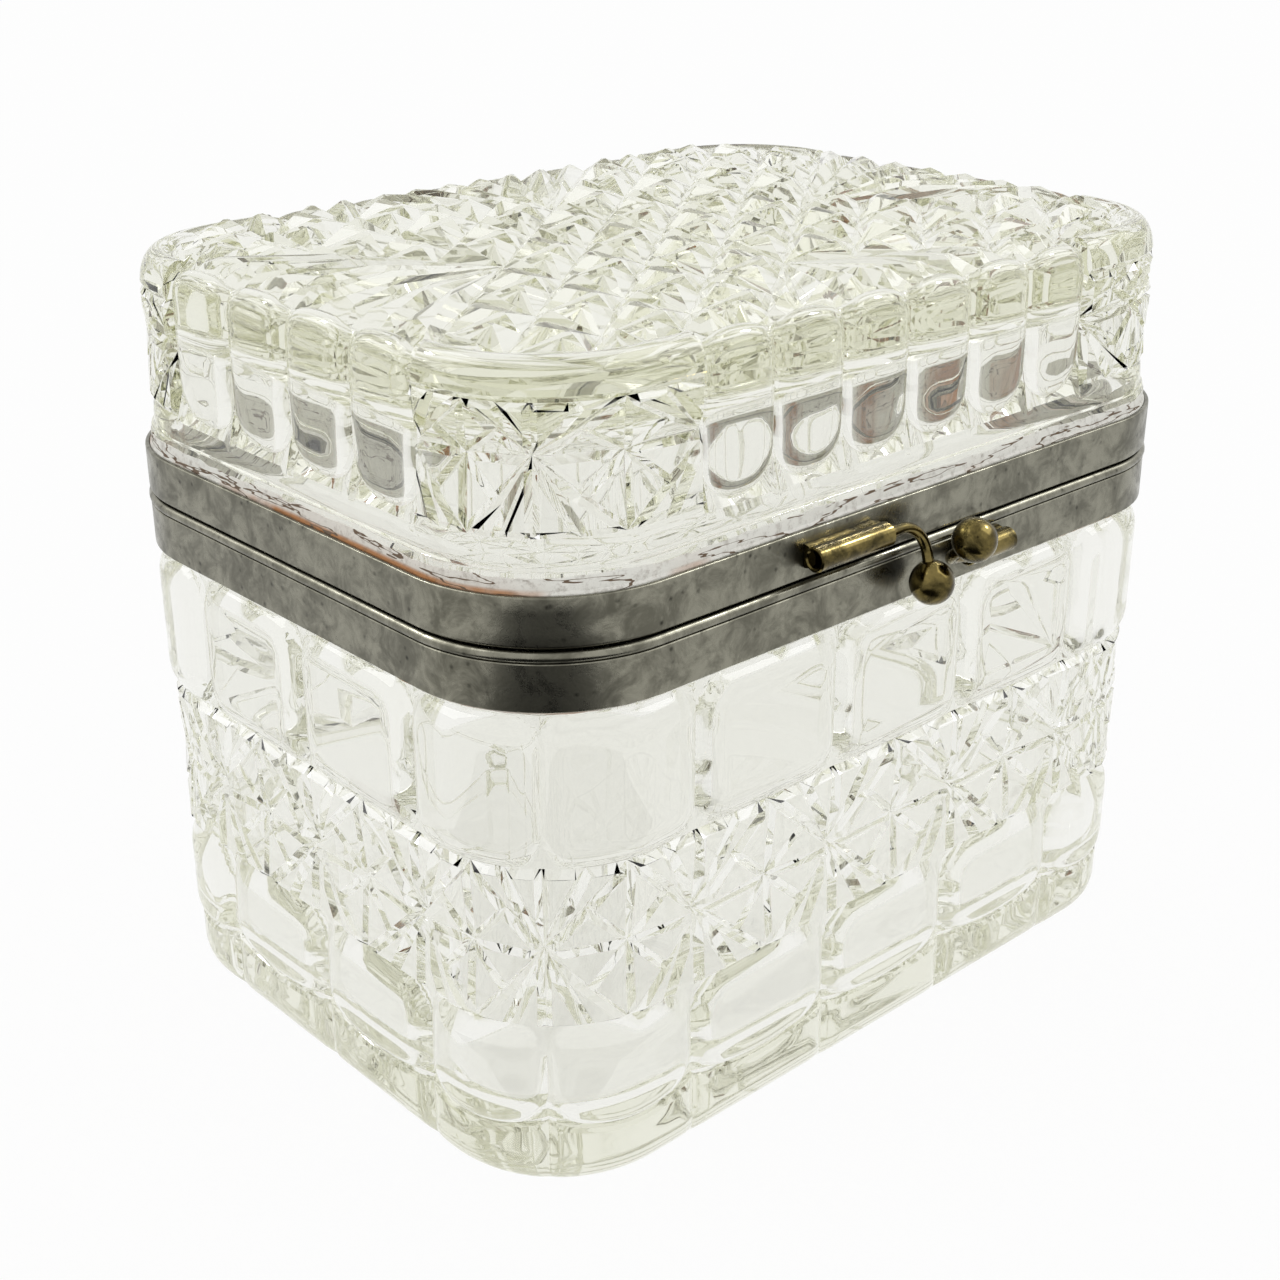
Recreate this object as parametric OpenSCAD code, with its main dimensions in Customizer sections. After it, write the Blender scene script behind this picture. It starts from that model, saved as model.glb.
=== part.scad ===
// Pressed-glass casket box: a heavy glass body and a heavy glass lid, each bedded in
// plaster inside a metal rim, joined by a knuckle hinge at the back and held shut at the
// front by two sprung balls that snap past each other.
// Origin: middle of the foot on the table. +X along the long front, front at -Y, +Z up.

/* [Box] */
// Length of the metal rims along X
case_l = 130; // [110:1:150]
// Width of the metal rims along Y
case_w = 97; // [86:1:120]
// Radius of the vertical corners of the rims
corner_r = 20.5; // [18:0.5:24]
// Height of the seam between the two rims above the table
seam_z = 77; // [70:1:95]
// Height of the lid's highest point above the seam
lid_h = 34.3; // [31:0.1:40]

/* [Glass] */
// Thickness of the glass wall at its lip
wall_t = 4.7; // [4:0.1:6]
// Thickness of the glass floor
floor_t = 9; // [7:0.5:12]
// Thickness of the lid's glass top, from its ceiling to the lid's highest point
lid_top_t = 10.3; // [9:0.1:12]
// Draft of the two hollows, as the inset that their walls gain over their depth
hollow_draft = 0.6; // [0.3:0.1:1.2]

/* [Rims and plaster] */
// Thickness of the rim metal
rim_t = 0.7; // [0.5:0.1:1]
// Height of the band round the body
body_rim_h = 7.6; // [6:0.1:9]
// Height of the band round the lid
lid_rim_h = 6.4; // [5.5:0.1:8]
// Thickness of the plaster between the glass and the rims
plaster_t = 0.4; // [0.3:0.1:0.8]
// Gap between the two rims when the box is shut
seam_gap = 0.3; // [0.2:0.1:0.6]
// Radius of the rolled bead along the body rim's top edge
bead_r = 0.45; // [0.4:0.01:0.45]
// How far the rolled bead stands out from the band
bead_proud = 0.22; // [0.2:0.01:0.3]

/* [Body pattern] */
// Height of the upper row of blocks
upper_block_h = 20.4; // [16:0.2:24]
// Height of the foot, up to the groove under the lower blocks
foot_h = 11; // [8:0.5:13]
// How far that groove dips in the middle of each block
foot_sag = 1.7; // [0:0.1:2.5]
// Plain blocks between the corner blocks on the front and the back
front_blocks = 3; // [3:2:5]
// Plain blocks between the corner blocks on each side
side_blocks = 2; // [2:1:3]
// Straight run of the front that belongs to each corner block
corner_run_front = 7; // [4:0.5:10]
// Straight run of the side that belongs to each corner block
corner_run_side = 4; // [2:0.5:6]
// Depth of the grooves between the blocks
block_groove = 1.9; // [1:0.1:2.4]
// Width of the rounding along each block's edges
block_round = 3.4; // [2:0.2:4]
// Height of the band of stars
star_band_h = 22.7; // [16:0.5:26]
// Depth of the centre of each large star
big_star_depth = 2.5; // [1:0.1:3]
// Depth of the centre of each small star
small_star_depth = 1.9; // [1:0.1:2.5]

/* [Lid pattern] */
// Flutes on the lid's front and back
front_flutes = 6; // [4:1:8]
// Flutes on each side of the lid
side_flutes = 4; // [3:1:5]
// Width of one flute on the front
front_flute_w = 12; // [10:0.5:12]
// Width of one flute on the side
side_flute_w = 13.3; // [10:0.1:13.3]
// Depth of the grooves between the flutes
flute_groove = 1.4; // [0.8:0.1:1.8]
// Height of the lid's shoulder, where the flutes round over
shoulder_h = 4.5; // [3:0.5:5]
// How far the shoulder's crest lies below the peaks of the pattern on top
crest_drop = 1; // [0.5:0.1:1.5]
// Half the length of one star lozenge on the lid's top, along X
lozenge_x = 14; // [13:0.5:15]
// Half the length of one star lozenge on the lid's top, along Y
lozenge_y = 11.75; // [10:0.25:12]
// Height of the pattern on the lid's top, from the groove round it to its peaks
top_relief = 2.8; // [1.5:0.1:3]
// Ribs in each fan on the lid's top
fan_ribs = 7; // [5:2:9]

/* [Hinge] */
// Length of the hinge along X
hinge_w = 34; // [24:1:44]
// Outside radius of the knuckles
knuckle_r = 2; // [1.8:0.1:2.4]
// Radius of the hinge pin
pin_r = 0.8; // [0.6:0.05:1]
// Running clearance between the pin and the lid's knuckles
pin_clear = 0.06; // [0.02:0.01:0.1]
// Gap between neighbouring knuckles
knuckle_gap = 0.25; // [0.15:0.05:0.5]
// Thickness of the hinge plates
leaf_t = 0.7; // [0.5:0.1:0.9]
// Height of each hinge plate
leaf_h = 5; // [4:0.5:5.5]
// Angle at which the hinge's stop halts the lid
open_angle = 100; // [95:1:105]

/* [Clasp] */
// Diameter of the two clasp balls
ball_d = 6; // [5:0.2:7]
// Outside diameter of the sleeves soldered to the rims
sleeve_d = 3.6; // [3.2:0.1:4]
// Length of the lid's sleeve
lid_sleeve_l = 13.5; // [10:0.5:16]
// Length of the body's sleeve
body_sleeve_l = 9; // [7:0.5:12]
// Radius of the stem's shank inside its sleeve
shank_r = 1.1; // [0.9:0.05:1.2]
// Running clearance between a shank and its sleeve
shank_clear = 0.05; // [0.02:0.01:0.1]
// Radius of the bent stem between the sleeve and the ball
stem_r = 0.75; // [0.6:0.05:0.9]
// Radius of the bend of the stems
bend_r = 4; // [3.4:0.1:4.4]
// Distance of the lid ball's centre in front of the band
lid_ball_out = 4; // [3.6:0.1:4.6]
// Distance of the body ball's centre in front of the band
body_ball_out = 7.3; // [6.8:0.1:8]

/* [Hidden] */
$fn = 48;

glass_color = [0.86, 0.9, 0.86, 0.45];
rim_color = [0.45, 0.44, 0.41];
brass_color = [0.62, 0.52, 0.26];
plaster_color = [0.72, 0.5, 0.33];

// ---- Outline of the box -------------------------------------------------------------
half_l = case_l / 2;
half_w = case_w / 2;
run_x = half_l - corner_r;
run_y = half_w - corner_r;
arc_l = PI * corner_r / 2;
loop_l = 4 * (run_x + run_y + arc_l);
deg = 180 / PI;

// Where each straight and each corner starts, counted from the middle of the front
at_fr = run_x;
at_right = at_fr + arc_l;
at_br = at_right + 2 * run_y;
at_back = at_br + arc_l;
at_bl = at_back + 2 * run_x;
at_left = at_bl + arc_l;
at_fl = at_left + 2 * run_y;
at_front = at_fl + arc_l;

function corner_pt(cx, cy, a, inset) =
    [cx + (corner_r - inset) * cos(a), cy + (corner_r - inset) * sin(a)];

// Point on the outline at a distance s along it, set in from the rims' face by inset
function outline_pt(s0, inset) =
    let (s = s0 < 0 ? s0 + loop_l : s0 >= loop_l ? s0 - loop_l : s0)
    s < at_fr ? [s, inset - half_w] :
    s < at_right ? corner_pt(run_x, -run_y, (s - at_fr) / corner_r * deg - 90, inset) :
    s < at_br ? [half_l - inset, s - at_right - run_y] :
    s < at_back ? corner_pt(run_x, run_y, (s - at_br) / corner_r * deg, inset) :
    s < at_bl ? [run_x - (s - at_back), half_w - inset] :
    s < at_left ? corner_pt(-run_x, run_y, (s - at_bl) / corner_r * deg + 90, inset) :
    s < at_fl ? [inset - half_l, run_y - (s - at_left)] :
    s < at_front ? corner_pt(-run_x, -run_y, (s - at_fl) / corner_r * deg + 180, inset) :
    [s - at_front - run_x, inset - half_w];

// Skin point [s, z, inset] placed in space
function place(p) = let (xy = outline_pt(p[0], p[2])) [xy[0], xy[1], p[1]];

// Rounded rectangle with true arcs, set in from the rims' face
module outline(inset) {
    r = corner_r - inset;
    square([2 * run_x, 2 * (half_w - inset)], center = true);
    square([2 * (half_l - inset), 2 * run_y], center = true);
    for (x = [-run_x, run_x], y = [-run_y, run_y]) {
        translate([x, y]) circle(r);
    }
}

module ring(z0, z1, inset0, inset1) {
    translate([0, 0, z0]) linear_extrude(z1 - z0) difference() {
        outline(inset0);
        outline(inset1);
    }
}

// Round wire of radius r that runs all the way along the outline
module wire_ring(z, inset, r) {
    for (side = [-1, 1]) {
        translate([-run_x, side * (half_w - inset), z]) rotate([0, 90, 0])
            cylinder(h = 2 * run_x, r = r);
        translate([side * (half_l - inset), run_y, z]) rotate([90, 0, 0])
            cylinder(h = 2 * run_y, r = r);
    }
    corners = [[1, -1, -90], [1, 1, 0], [-1, 1, 90], [-1, -1, 180]];
    for (c = corners) {
        translate([c[0] * run_x, c[1] * run_y, z]) rotate([0, 0, c[2]])
            rotate_extrude(angle = 90) translate([corner_r - inset, 0]) circle(r);
    }
}

// ---- Levels -------------------------------------------------------------------------
body_rim_top = seam_z - seam_gap / 2;
body_rim_low = body_rim_top - body_rim_h;
lid_rim_low = seam_z + seam_gap / 2;
lid_rim_top = lid_rim_low + lid_rim_h;
lip_inset = rim_t + plaster_t;
mouth_inset = lip_inset + wall_t;
body_lip_z = body_rim_top - rim_t - plaster_t;
lid_lip_z = lid_rim_low + rim_t + plaster_t;

// ---- Skins: rows of points round the outline, joined by faces -------------------------
function wrap(i, n) = i % n;

// Faces between row a and the row above it, b; both are first indices of n points
function strip(a, b, n, skip = []) =
    [for (i = [0:n - 1]) if (len(skip) == 0 || !skip[i])
        let (j = wrap(i + 1, n)) each [[a + i, a + j, b + j], [a + i, b + j, b + i]]];

// Faces from a coarse row a up to a fine row b; pick lists the fine index of each coarse one
function widen(a, b, pick, n) =
    let (m = len(pick))
    [for (i = [0:m - 1])
        let (j = wrap(i + 1, m), k0 = pick[i], k1 = i + 1 < m ? pick[j] : n)
        each concat(
            [[a + i, a + j, b + wrap(k1, n)]],
            [for (k = [k0:k1 - 1]) [a + i, b + wrap(k + 1, n), b + k]])];

// Faces from a fine row a up to a coarse row b
function narrow(a, b, pick, n) =
    let (m = len(pick))
    [for (i = [0:m - 1])
        let (j = wrap(i + 1, m), k0 = pick[i], k1 = i + 1 < m ? pick[j] : n)
        each concat(
            [for (k = [k0:k1 - 1]) [a + k, a + wrap(k + 1, n), b + i]],
            [[a + wrap(k1, n), b + j, b + i]])];

function first_cap(a, n, mid) = [for (i = [0:n - 1]) [mid, a + wrap(i + 1, n), a + i]];
function last_cap(a, n, mid) = [for (i = [0:n - 1]) [mid, a + i, a + wrap(i + 1, n)]];
function turned(faces) = [for (f = faces) [for (i = [len(f) - 1:-1:0]) f[i]]];
function total(v, i = 0) = i < len(v) ? v[i] + total(v, i + 1) : v[0] * 0;
function mean(v) = total(v) / len(v);

// ---- Stars pressed into a skin --------------------------------------------------------
// A star panel lies between two large stars. It has a small star in the lozenge between
// them. Columns of a panel stand at these parts of its width:
panel_cols = [0, 0.035, 0.125, 0.25, 0.5, 0.75, 0.875, 0.965];
coarse_cols = [0, 3, 4, 5];
panel_n = len(panel_cols);
peak_share = 0.62;
peak_depth = 0.1;
flat_share = 0.3;

// Loops of one panel as seen from outside, each with its star's centre first.
// t and b are the columns of the top and bottom edge, c0 and c1 the large stars' centres,
// u0 and u1 the points of the upright rays above them, l0 and l1 of those below.
function star_loops(t, b, c0, c1, u0, u1, l0, l1, s, e) = [
    concat([c0, t[3], t[2], t[1], t[0]], u0),
    [c0, e[0], t[4], t[3]],
    [c1, t[5], t[4], e[1]],
    concat([c1], u1, [t[8], t[7], t[6], t[5]]),
    concat([c0], l0, [b[0], b[1], b[2], b[3]]),
    [c0, b[3], b[4], e[3]],
    [c1, e[2], b[4], b[5]],
    concat([c1, b[5], b[6], b[7], b[8]], l1),
    [s, c1, e[1]], [s, e[1], t[4]], [s, t[4], e[0]], [s, e[0], c0],
    [s, c0, e[3]], [s, e[3], b[4]], [s, b[4], e[2]], [s, e[2], c1]
];
loops_n = 16;
extra_n = 5 + loops_n;

// Small star's centre and the four points half way along the lozenge's edges
function star_points(s0, s1, z0, zc, z1, inset) =
    let (sm = (s0 + s1) / 2, q = (s1 - s0) / 4, ray = inset + big_star_depth * 0.45)
    [[sm, zc, inset + small_star_depth],
     [s0 + q, (zc + z1) / 2, ray], [s1 - q, (zc + z1) / 2, ray],
     [s1 - q, (zc + z0) / 2, ray], [s0 + q, (zc + z0) / 2, ray]];

function peak_of(loop, pts, inset) =
    let (c = pts[loop[0]],
         rest = mean([for (i = [1:len(loop) - 1]) pts[loop[i]]]),
         p = c + peak_share * (rest - c))
    [p[0], p[1], inset + peak_depth];

function fan(loop, tip) =
    [for (i = [0:len(loop) - 1]) [tip, loop[i], loop[wrap(i + 1, len(loop))]]];

// Points of a loop, kept together where it crosses the outline's start
function unwrap(pts, loop) =
    let (s0 = pts[loop[0]][0])
    [for (i = loop) let (p = pts[i])
        [p[0] < s0 - loop_l / 2 ? p[0] + loop_l :
         p[0] > s0 + loop_l / 2 ? p[0] - loop_l : p[0], p[1], p[2]]];

// Flat facet inside a loop: its corners and its middle, and its faces when those points
// start at first
function flat_of(v, inset) =
    let (mid = mean(v))
    [for (p = concat(v, [mid])) let (q = p + flat_share * (mid - p)) [q[0], q[1], inset]];
function flat_faces(loop, first) =
    let (n = len(loop))
    [for (i = [0:n - 1]) let (j = wrap(i + 1, n))
        each [[loop[i], loop[j], first + j], [loop[i], first + j, first + i],
              [first + i, first + j, first + n]]];

// The first loops of a panel are the facets of its large stars, and the rest those of its
// small one. The large ones are flat and the small ones come to a peak.
large_n = 8;
function is_large(l) = l % loops_n < large_n;
function tops_of(loops, pts, inset) =
    [for (l = [0:len(loops) - 1]) let (v = unwrap(pts, loops[l]))
        is_large(l) ? flat_of(v, inset) : [peak_of([for (i = [0:len(v) - 1]) i], v, inset)]];
function first_of(tops, at) =
    [for (l = 0, k = at; l < len(tops); k = k + len(tops[l]), l = l + 1) k];
function star_faces(loops, firsts) =
    [for (l = [0:len(loops) - 1])
        each is_large(l) ? flat_faces(loops[l], firsts[l]) : fan(loops[l], firsts[l])];

// ---- Body glass -----------------------------------------------------------------------
block_front = (2 * run_x - 2 * corner_run_front) / front_blocks;
block_side = (2 * run_y - 2 * corner_run_side) / side_blocks;
front_marks = [for (k = [0:front_blocks]) block_front * (k - front_blocks / 2)];
side_marks = [for (k = [0:side_blocks]) block_side * (k - side_blocks / 2)];

// Places along the outline where the blocks meet
body_marks = concat(
    front_marks, [at_fr + arc_l / 2],
    [for (y = side_marks) at_right + run_y + y], [at_br + arc_l / 2],
    [for (x = front_marks) at_back + run_x + x], [at_bl + arc_l / 2],
    [for (y = side_marks) at_left + run_y + y], [at_fl + arc_l / 2]);
blocks_n = len(body_marks);
body_n = blocks_n * panel_n;
body_pick = [for (k = [0:blocks_n - 1], c = coarse_cols) k * panel_n + c];

function block_start(k) = body_marks[k];
function block_end(k) = k + 1 < blocks_n ? body_marks[k + 1] : body_marks[0] + loop_l;

// Columns of the body as [s, distance to the nearest block edge, part of the block]
body_cols = [for (k = [0:blocks_n - 1], f = panel_cols)
    let (w = block_end(k) - block_start(k))
    [block_start(k) + f * w, min(f, 1 - f) * w, f]];

// How deep a block is cut at a column, v being its closeness to the block's level edges
crown = 0.35;
function block_cut(col, v, strength) =
    let (u = max(0, 1 - col[1] / block_round))
    strength * (block_groove * min(1, u * u + v * v) + crown * pow(2 * col[2] - 1, 2));

// Closeness to a level edge at a distance from it: 1 at the edge and 0 on the block's face
function closeness(dist) = max(0, 1 - dist / block_round);

foot_inset = 0.9;
low_inset = 0.4;
groove_line = 1.4;
groove_half = 0.9;
foot_edge = 5.2;
foot_round_h = 5;
foot_strength = 0.6;
ledge_h = 1.2;
body_ledge_z = body_rim_low - ledge_h;
band_top = body_ledge_z - upper_block_h;
band_low = band_top - star_band_h;

// Rows near a block's level edge stand at these shares of its rounding
edge_shares = [0.25, 0.65, 1.35];

// Rows of the body's outside as [z, inset, closeness to a level edge, strength of the cut,
// share of the dip in the foot's groove], first those below the band of stars
below_band_rows = concat(
    [for (a = [30, 60, 90])
        [foot_round_h * (1 - cos(a)), foot_inset + (foot_edge - foot_inset) * (1 - sin(a)),
         0, foot_strength * a / 90, 0]],
    [[foot_h - groove_half, foot_inset, 0, foot_strength, 1],
     [foot_h, low_inset + groove_line, 0, foot_strength / 2, 1]],
    [for (e = [edge_shares[0], edge_shares[2]])
        [foot_h + e * block_round, low_inset, closeness(e * block_round), 1, 1]],
    [for (e = [edge_shares[2], edge_shares[0]])
        [band_low - e * block_round, low_inset, closeness(e * block_round), 1, 0]]);
body_side_rows = concat(
    below_band_rows,
    [[band_low, low_inset + groove_line, 0, 0, 0],
     [(band_low + band_top) / 2, low_inset, 0, 0, 0],
     [band_top, groove_line, 0, 0, 0]],
    [for (e = edge_shares) [band_top + e * block_round, 0, closeness(e * block_round), 1, 0]],
    [for (e = [edge_shares[2], edge_shares[1], edge_shares[0]])
        [body_ledge_z - e * block_round, 0, closeness(e * block_round), 1, 0]]);
band_row = len(below_band_rows);
star_inset = 0.5;

// Plain rows of the lip, the mouth and the hollow, with fewer columns
hollow_round = 4;
body_hollow_rows = concat(
    [[body_ledge_z, lip_inset], [body_lip_z, lip_inset], [body_lip_z, mouth_inset]],
    [for (a = [0, 45, 90])
        [floor_t + hollow_round * (1 - sin(a)),
         mouth_inset + hollow_draft + hollow_round * (1 - cos(a))]]);

// In the middle row of the stars only the block edges count: they are the large stars' centres
function body_inset(r, col) =
    r == band_row + 1 ? star_inset + big_star_depth :
    body_side_rows[r][1] + block_cut(col, body_side_rows[r][2], body_side_rows[r][3]);

body_foot_pts = [for (i = body_pick) [body_cols[i][0], 0, foot_edge]];
// The groove above the foot dips by this much at a column
function dip(col) = foot_sag * (1 - pow(2 * col[2] - 1, 2));
body_side_pts = [for (r = [0:len(body_side_rows) - 1], col = body_cols)
    [col[0], body_side_rows[r][0] - body_side_rows[r][4] * dip(col), body_inset(r, col)]];
body_hollow_pts = [for (row = body_hollow_rows, i = body_pick)
    [body_cols[i][0], row[0], row[1]]];
body_star_pts = [for (k = [0:blocks_n - 1])
    each star_points(block_start(k), block_end(k), band_low, (band_low + band_top) / 2,
                     band_top, star_inset)];

body_coarse_n = len(body_pick);
body_side_0 = len(body_foot_pts);
body_hollow_0 = body_side_0 + len(body_side_pts);
body_star_0 = body_hollow_0 + len(body_hollow_pts);
body_base_pts = concat(body_foot_pts, body_side_pts, body_hollow_pts, body_star_pts);
body_peak_0 = len(body_base_pts);

function body_pt(r, i) = body_side_0 + r * body_n + wrap(i, body_n);

body_loops = [for (k = [0:blocks_n - 1])
    let (i = k * panel_n, e = body_star_0 + k * 5)
    each star_loops([for (c = [0:panel_n]) body_pt(band_row + 2, i + c)],
                    [for (c = [0:panel_n]) body_pt(band_row, i + c)],
                    body_pt(band_row + 1, i), body_pt(band_row + 1, i + panel_n),
                    [], [], [], [], e, [e + 1, e + 2, e + 3, e + 4])];
body_tops = tops_of(body_loops, body_base_pts, star_inset);
body_top_pts = [for (top = body_tops) each top];

body_mid_0 = body_peak_0 + len(body_top_pts);
body_faces = concat(
    first_cap(0, body_coarse_n, body_mid_0),
    widen(0, body_side_0, body_pick, body_n),
    [for (r = [0:len(body_side_rows) - 2]) if (r != band_row && r != band_row + 1)
        each strip(body_pt(r, 0), body_pt(r + 1, 0), body_n)],
    star_faces(body_loops, first_of(body_tops, body_peak_0)),
    narrow(body_hollow_0 - body_n, body_hollow_0, body_pick, body_n),
    [for (r = [0:len(body_hollow_rows) - 2])
        each strip(body_hollow_0 + r * body_coarse_n, body_hollow_0 + (r + 1) * body_coarse_n,
                   body_coarse_n)],
    last_cap(body_star_0 - body_coarse_n, body_coarse_n, body_mid_0 + 1));

module body_glass() {
    color(glass_color) polyhedron(
        points = concat([for (p = concat(body_base_pts, body_top_pts)) place(p)],
                        [[0, 0, 0], [0, 0, floor_t]]),
        faces = turned(body_faces));
}

// ---- Lid glass ------------------------------------------------------------------------
flute_cols = [0, 0.06, 0.25, 0.5, 0.75, 0.94];
flute_n = len(flute_cols);
flute_coarse = [0, 3];

function flutes(start, w, n) = [for (k = [0:n - 1]) [start + k * w, start + (k + 1) * w, 0]];
front_reach = front_flute_w * front_flutes / 2;
side_reach = side_flute_w * side_flutes / 2;

// Star panels of one corner: from the edge of one face's flutes to the corner's large star,
// and from there to the edge of the next face's flutes
function corner_panels(from, mid, to) = [[from, mid, 1], [mid, to, 1]];

// Panels round the lid as [start, end, 1 for stars or 0 for a flute]
lid_panels = concat(
    flutes(-front_reach, front_flute_w, front_flutes),
    corner_panels(front_reach, at_fr + arc_l / 2, at_right + run_y - side_reach),
    flutes(at_right + run_y - side_reach, side_flute_w, side_flutes),
    corner_panels(at_right + run_y + side_reach, at_br + arc_l / 2,
                  at_back + run_x - front_reach),
    flutes(at_back + run_x - front_reach, front_flute_w, front_flutes),
    corner_panels(at_back + run_x + front_reach, at_bl + arc_l / 2,
                  at_left + run_y - side_reach),
    flutes(at_left + run_y - side_reach, side_flute_w, side_flutes),
    corner_panels(at_left + run_y + side_reach, at_fl + arc_l / 2, loop_l - front_reach));
lid_panels_n = len(lid_panels);

function panel_size(k) = lid_panels[k][2] == 1 ? panel_n : flute_n;
// First column of every panel
lid_first = [for (k = 0, at = 0; k < lid_panels_n; at = at + panel_size(k), k = k + 1) at];
lid_n = lid_first[lid_panels_n - 1] + panel_size(lid_panels_n - 1);
lid_pick = [for (k = [0:lid_panels_n - 1], c = lid_panels[k][2] == 1 ? coarse_cols : flute_coarse)
    lid_first[k] + c];
lid_coarse_n = len(lid_pick);

function next_panel(k) = wrap(k + 1, lid_panels_n);
function last_panel(k) = wrap(k + lid_panels_n - 1, lid_panels_n);

// Columns of the lid as [s, part of the flute from its middle, kind, marks]
// kind: 0 inside a flute, 1 inside a star panel, 2 between flutes, 3 at a large star
lid_cols = [for (k = [0:lid_panels_n - 1])
    let (p = lid_panels[k], stars = p[2] == 1, parts = stars ? panel_cols : flute_cols)
    each [for (i = [0:len(parts) - 1])
        let (f = parts[i])
        [p[0] + f * (p[1] - p[0]), abs(2 * f - 1),
         i > 0 ? p[2] : (stars || lid_panels[last_panel(k)][2] == 1) ? 3 : 2,
         stars || lid_panels[last_panel(k)][2] == 0 ? 0 : 1]]];

lid_side_inset = 1.6;
lid_top_z = seam_z + lid_h;
plinth_h = 2.7;
plinth_step = 0.7;
plinth_z = lid_rim_top + plinth_h;
flute_foot_h = 3.6;
flute_foot = plinth_z + flute_foot_h;
flute_round = 3.6;
foot_groove = 0.9;
crest_z = lid_top_z - crest_drop;
shoulder_z = crest_z - shoulder_h;
panel_inset = 5.8;
crest_inset = 4.4;
crest_strength = 0.3;
field_z = lid_top_z - top_relief;
star_height = 0.58;
star_z = flute_foot + (shoulder_z - flute_foot) * star_height;

// Rows of the lid's outside as [z, inset, closeness to the flute's foot, strength]
lid_foot_rows = [for (d = [0, flute_round / 3, flute_round])
    [flute_foot + d, lid_side_inset, 1 - d / flute_round, 1]];
lid_rows = concat(
    lid_foot_rows,
    [[star_z, lid_side_inset, 0, 1], [shoulder_z, lid_side_inset, 0, 1]],
    [for (a = [30, 60, 90])
        [shoulder_z + shoulder_h * sin(a),
         lid_side_inset + (crest_inset - lid_side_inset) * (1 - cos(a)), 0,
         max(cos(a), crest_strength)]],
    [[field_z, panel_inset, 0, 0]]);
star_low_row = 0;
star_mid_row = len(lid_foot_rows);
star_top_row = star_mid_row + 1;

// Depth of the flutes' round section
function flute_cut(x, v) =
    let (q = min(1, x * x + v * v)) flute_groove * (1 - sqrt(1 - q));
edge_cut = 0.5;

// Depth of the upright ray of a large star at row r
function ray_cut(r) =
    r < star_low_row || r > star_top_row ? 0 :
    let (z = lid_rows[r][0], lo = lid_rows[star_low_row][0], hi = lid_rows[star_top_row][0],
         t = z < star_z ? (z - lo) / (star_z - lo) : (hi - z) / (hi - star_z))
    edge_cut + (big_star_depth - edge_cut) * t;

function lid_inset(r, col) =
    let (row = lid_rows[r], flute = flute_cut(col[1], row[2]) * row[3])
    row[1] + (
        col[2] == 0 || col[2] == 2 ? flute :
        col[2] == 3 ? max(ray_cut(r), col[3] * flute) :
        r == star_low_row || r == star_top_row ? edge_cut : 0);

// Plain rows of the hollow, the lip and the plinth, with fewer columns
ceiling_z = lid_top_z - lid_top_t;
ceiling_round = 3.2;
lid_hollow_rows = concat(
    [for (a = [90, 45, 0])
        [ceiling_z - ceiling_round * (1 - sin(a)),
         mouth_inset + hollow_draft + ceiling_round * (1 - cos(a))]],
    [[lid_lip_z, mouth_inset], [lid_lip_z, lip_inset], [plinth_z, lip_inset],
     [plinth_z + plinth_step, lip_inset + plinth_step],
     [flute_foot - plinth_step, lid_side_inset + foot_groove]]);

lid_hollow_pts = [for (row = lid_hollow_rows, i = lid_pick) [lid_cols[i][0], row[0], row[1]]];
lid_side_pts = [for (r = [0:len(lid_rows) - 1], col = lid_cols)
    [col[0], lid_rows[r][0], lid_inset(r, col)]];
star_panels = [for (k = [0:lid_panels_n - 1]) if (lid_panels[k][2] == 1) k];
lid_star_pts = [for (k = star_panels)
    each star_points(lid_panels[k][0], lid_panels[k][1], lid_rows[star_low_row][0], star_z,
                     shoulder_z, lid_side_inset)];
lid_side_0 = len(lid_hollow_pts);
lid_star_0 = lid_side_0 + len(lid_side_pts);
lid_base_pts = concat(lid_hollow_pts, lid_side_pts, lid_star_pts);
lid_peak_0 = len(lid_base_pts);

function lid_pt(r, i) = lid_side_0 + r * lid_n + wrap(i, lid_n);

lid_loops = [for (j = [0:len(star_panels) - 1])
    let (i = lid_first[star_panels[j]], e = lid_star_0 + j * 5, last = i + panel_n,
         lower = [for (r = [star_mid_row - 1:-1:star_low_row + 1]) r],
         raised = [for (r = [star_low_row + 1:star_mid_row - 1]) r])
    each star_loops([for (c = [0:panel_n]) lid_pt(star_top_row, i + c)],
                    [for (c = [0:panel_n]) lid_pt(star_low_row, i + c)],
                    lid_pt(star_mid_row, i), lid_pt(star_mid_row, last),
                    [], [], [for (r = lower) lid_pt(r, i)], [for (r = raised) lid_pt(r, last)],
                    e, [e + 1, e + 2, e + 3, e + 4])];
lid_tops = tops_of(lid_loops, lid_base_pts, lid_side_inset);
lid_top_pts = [for (top = lid_tops) each top];
// Columns that start a face of a star panel are left out of the plain strips
in_stars = [for (k = [0:lid_panels_n - 1]) each [for (i = [1:panel_size(k)]) lid_panels[k][2] == 1]];

lid_mid_0 = lid_peak_0 + len(lid_top_pts);
lid_faces = concat(
    first_cap(0, lid_coarse_n, lid_mid_0),
    [for (r = [0:len(lid_hollow_rows) - 2])
        each strip(r * lid_coarse_n, (r + 1) * lid_coarse_n, lid_coarse_n)],
    widen(lid_side_0 - lid_coarse_n, lid_side_0, lid_pick, lid_n),
    [for (r = [0:len(lid_rows) - 2])
        each strip(lid_pt(r, 0), lid_pt(r + 1, 0), lid_n,
                   r >= star_low_row && r < star_top_row ? in_stars : [])],
    star_faces(lid_loops, first_of(lid_tops, lid_peak_0)),
    last_cap(lid_pt(len(lid_rows) - 1, 0), lid_n, lid_mid_0 + 1));

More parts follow.
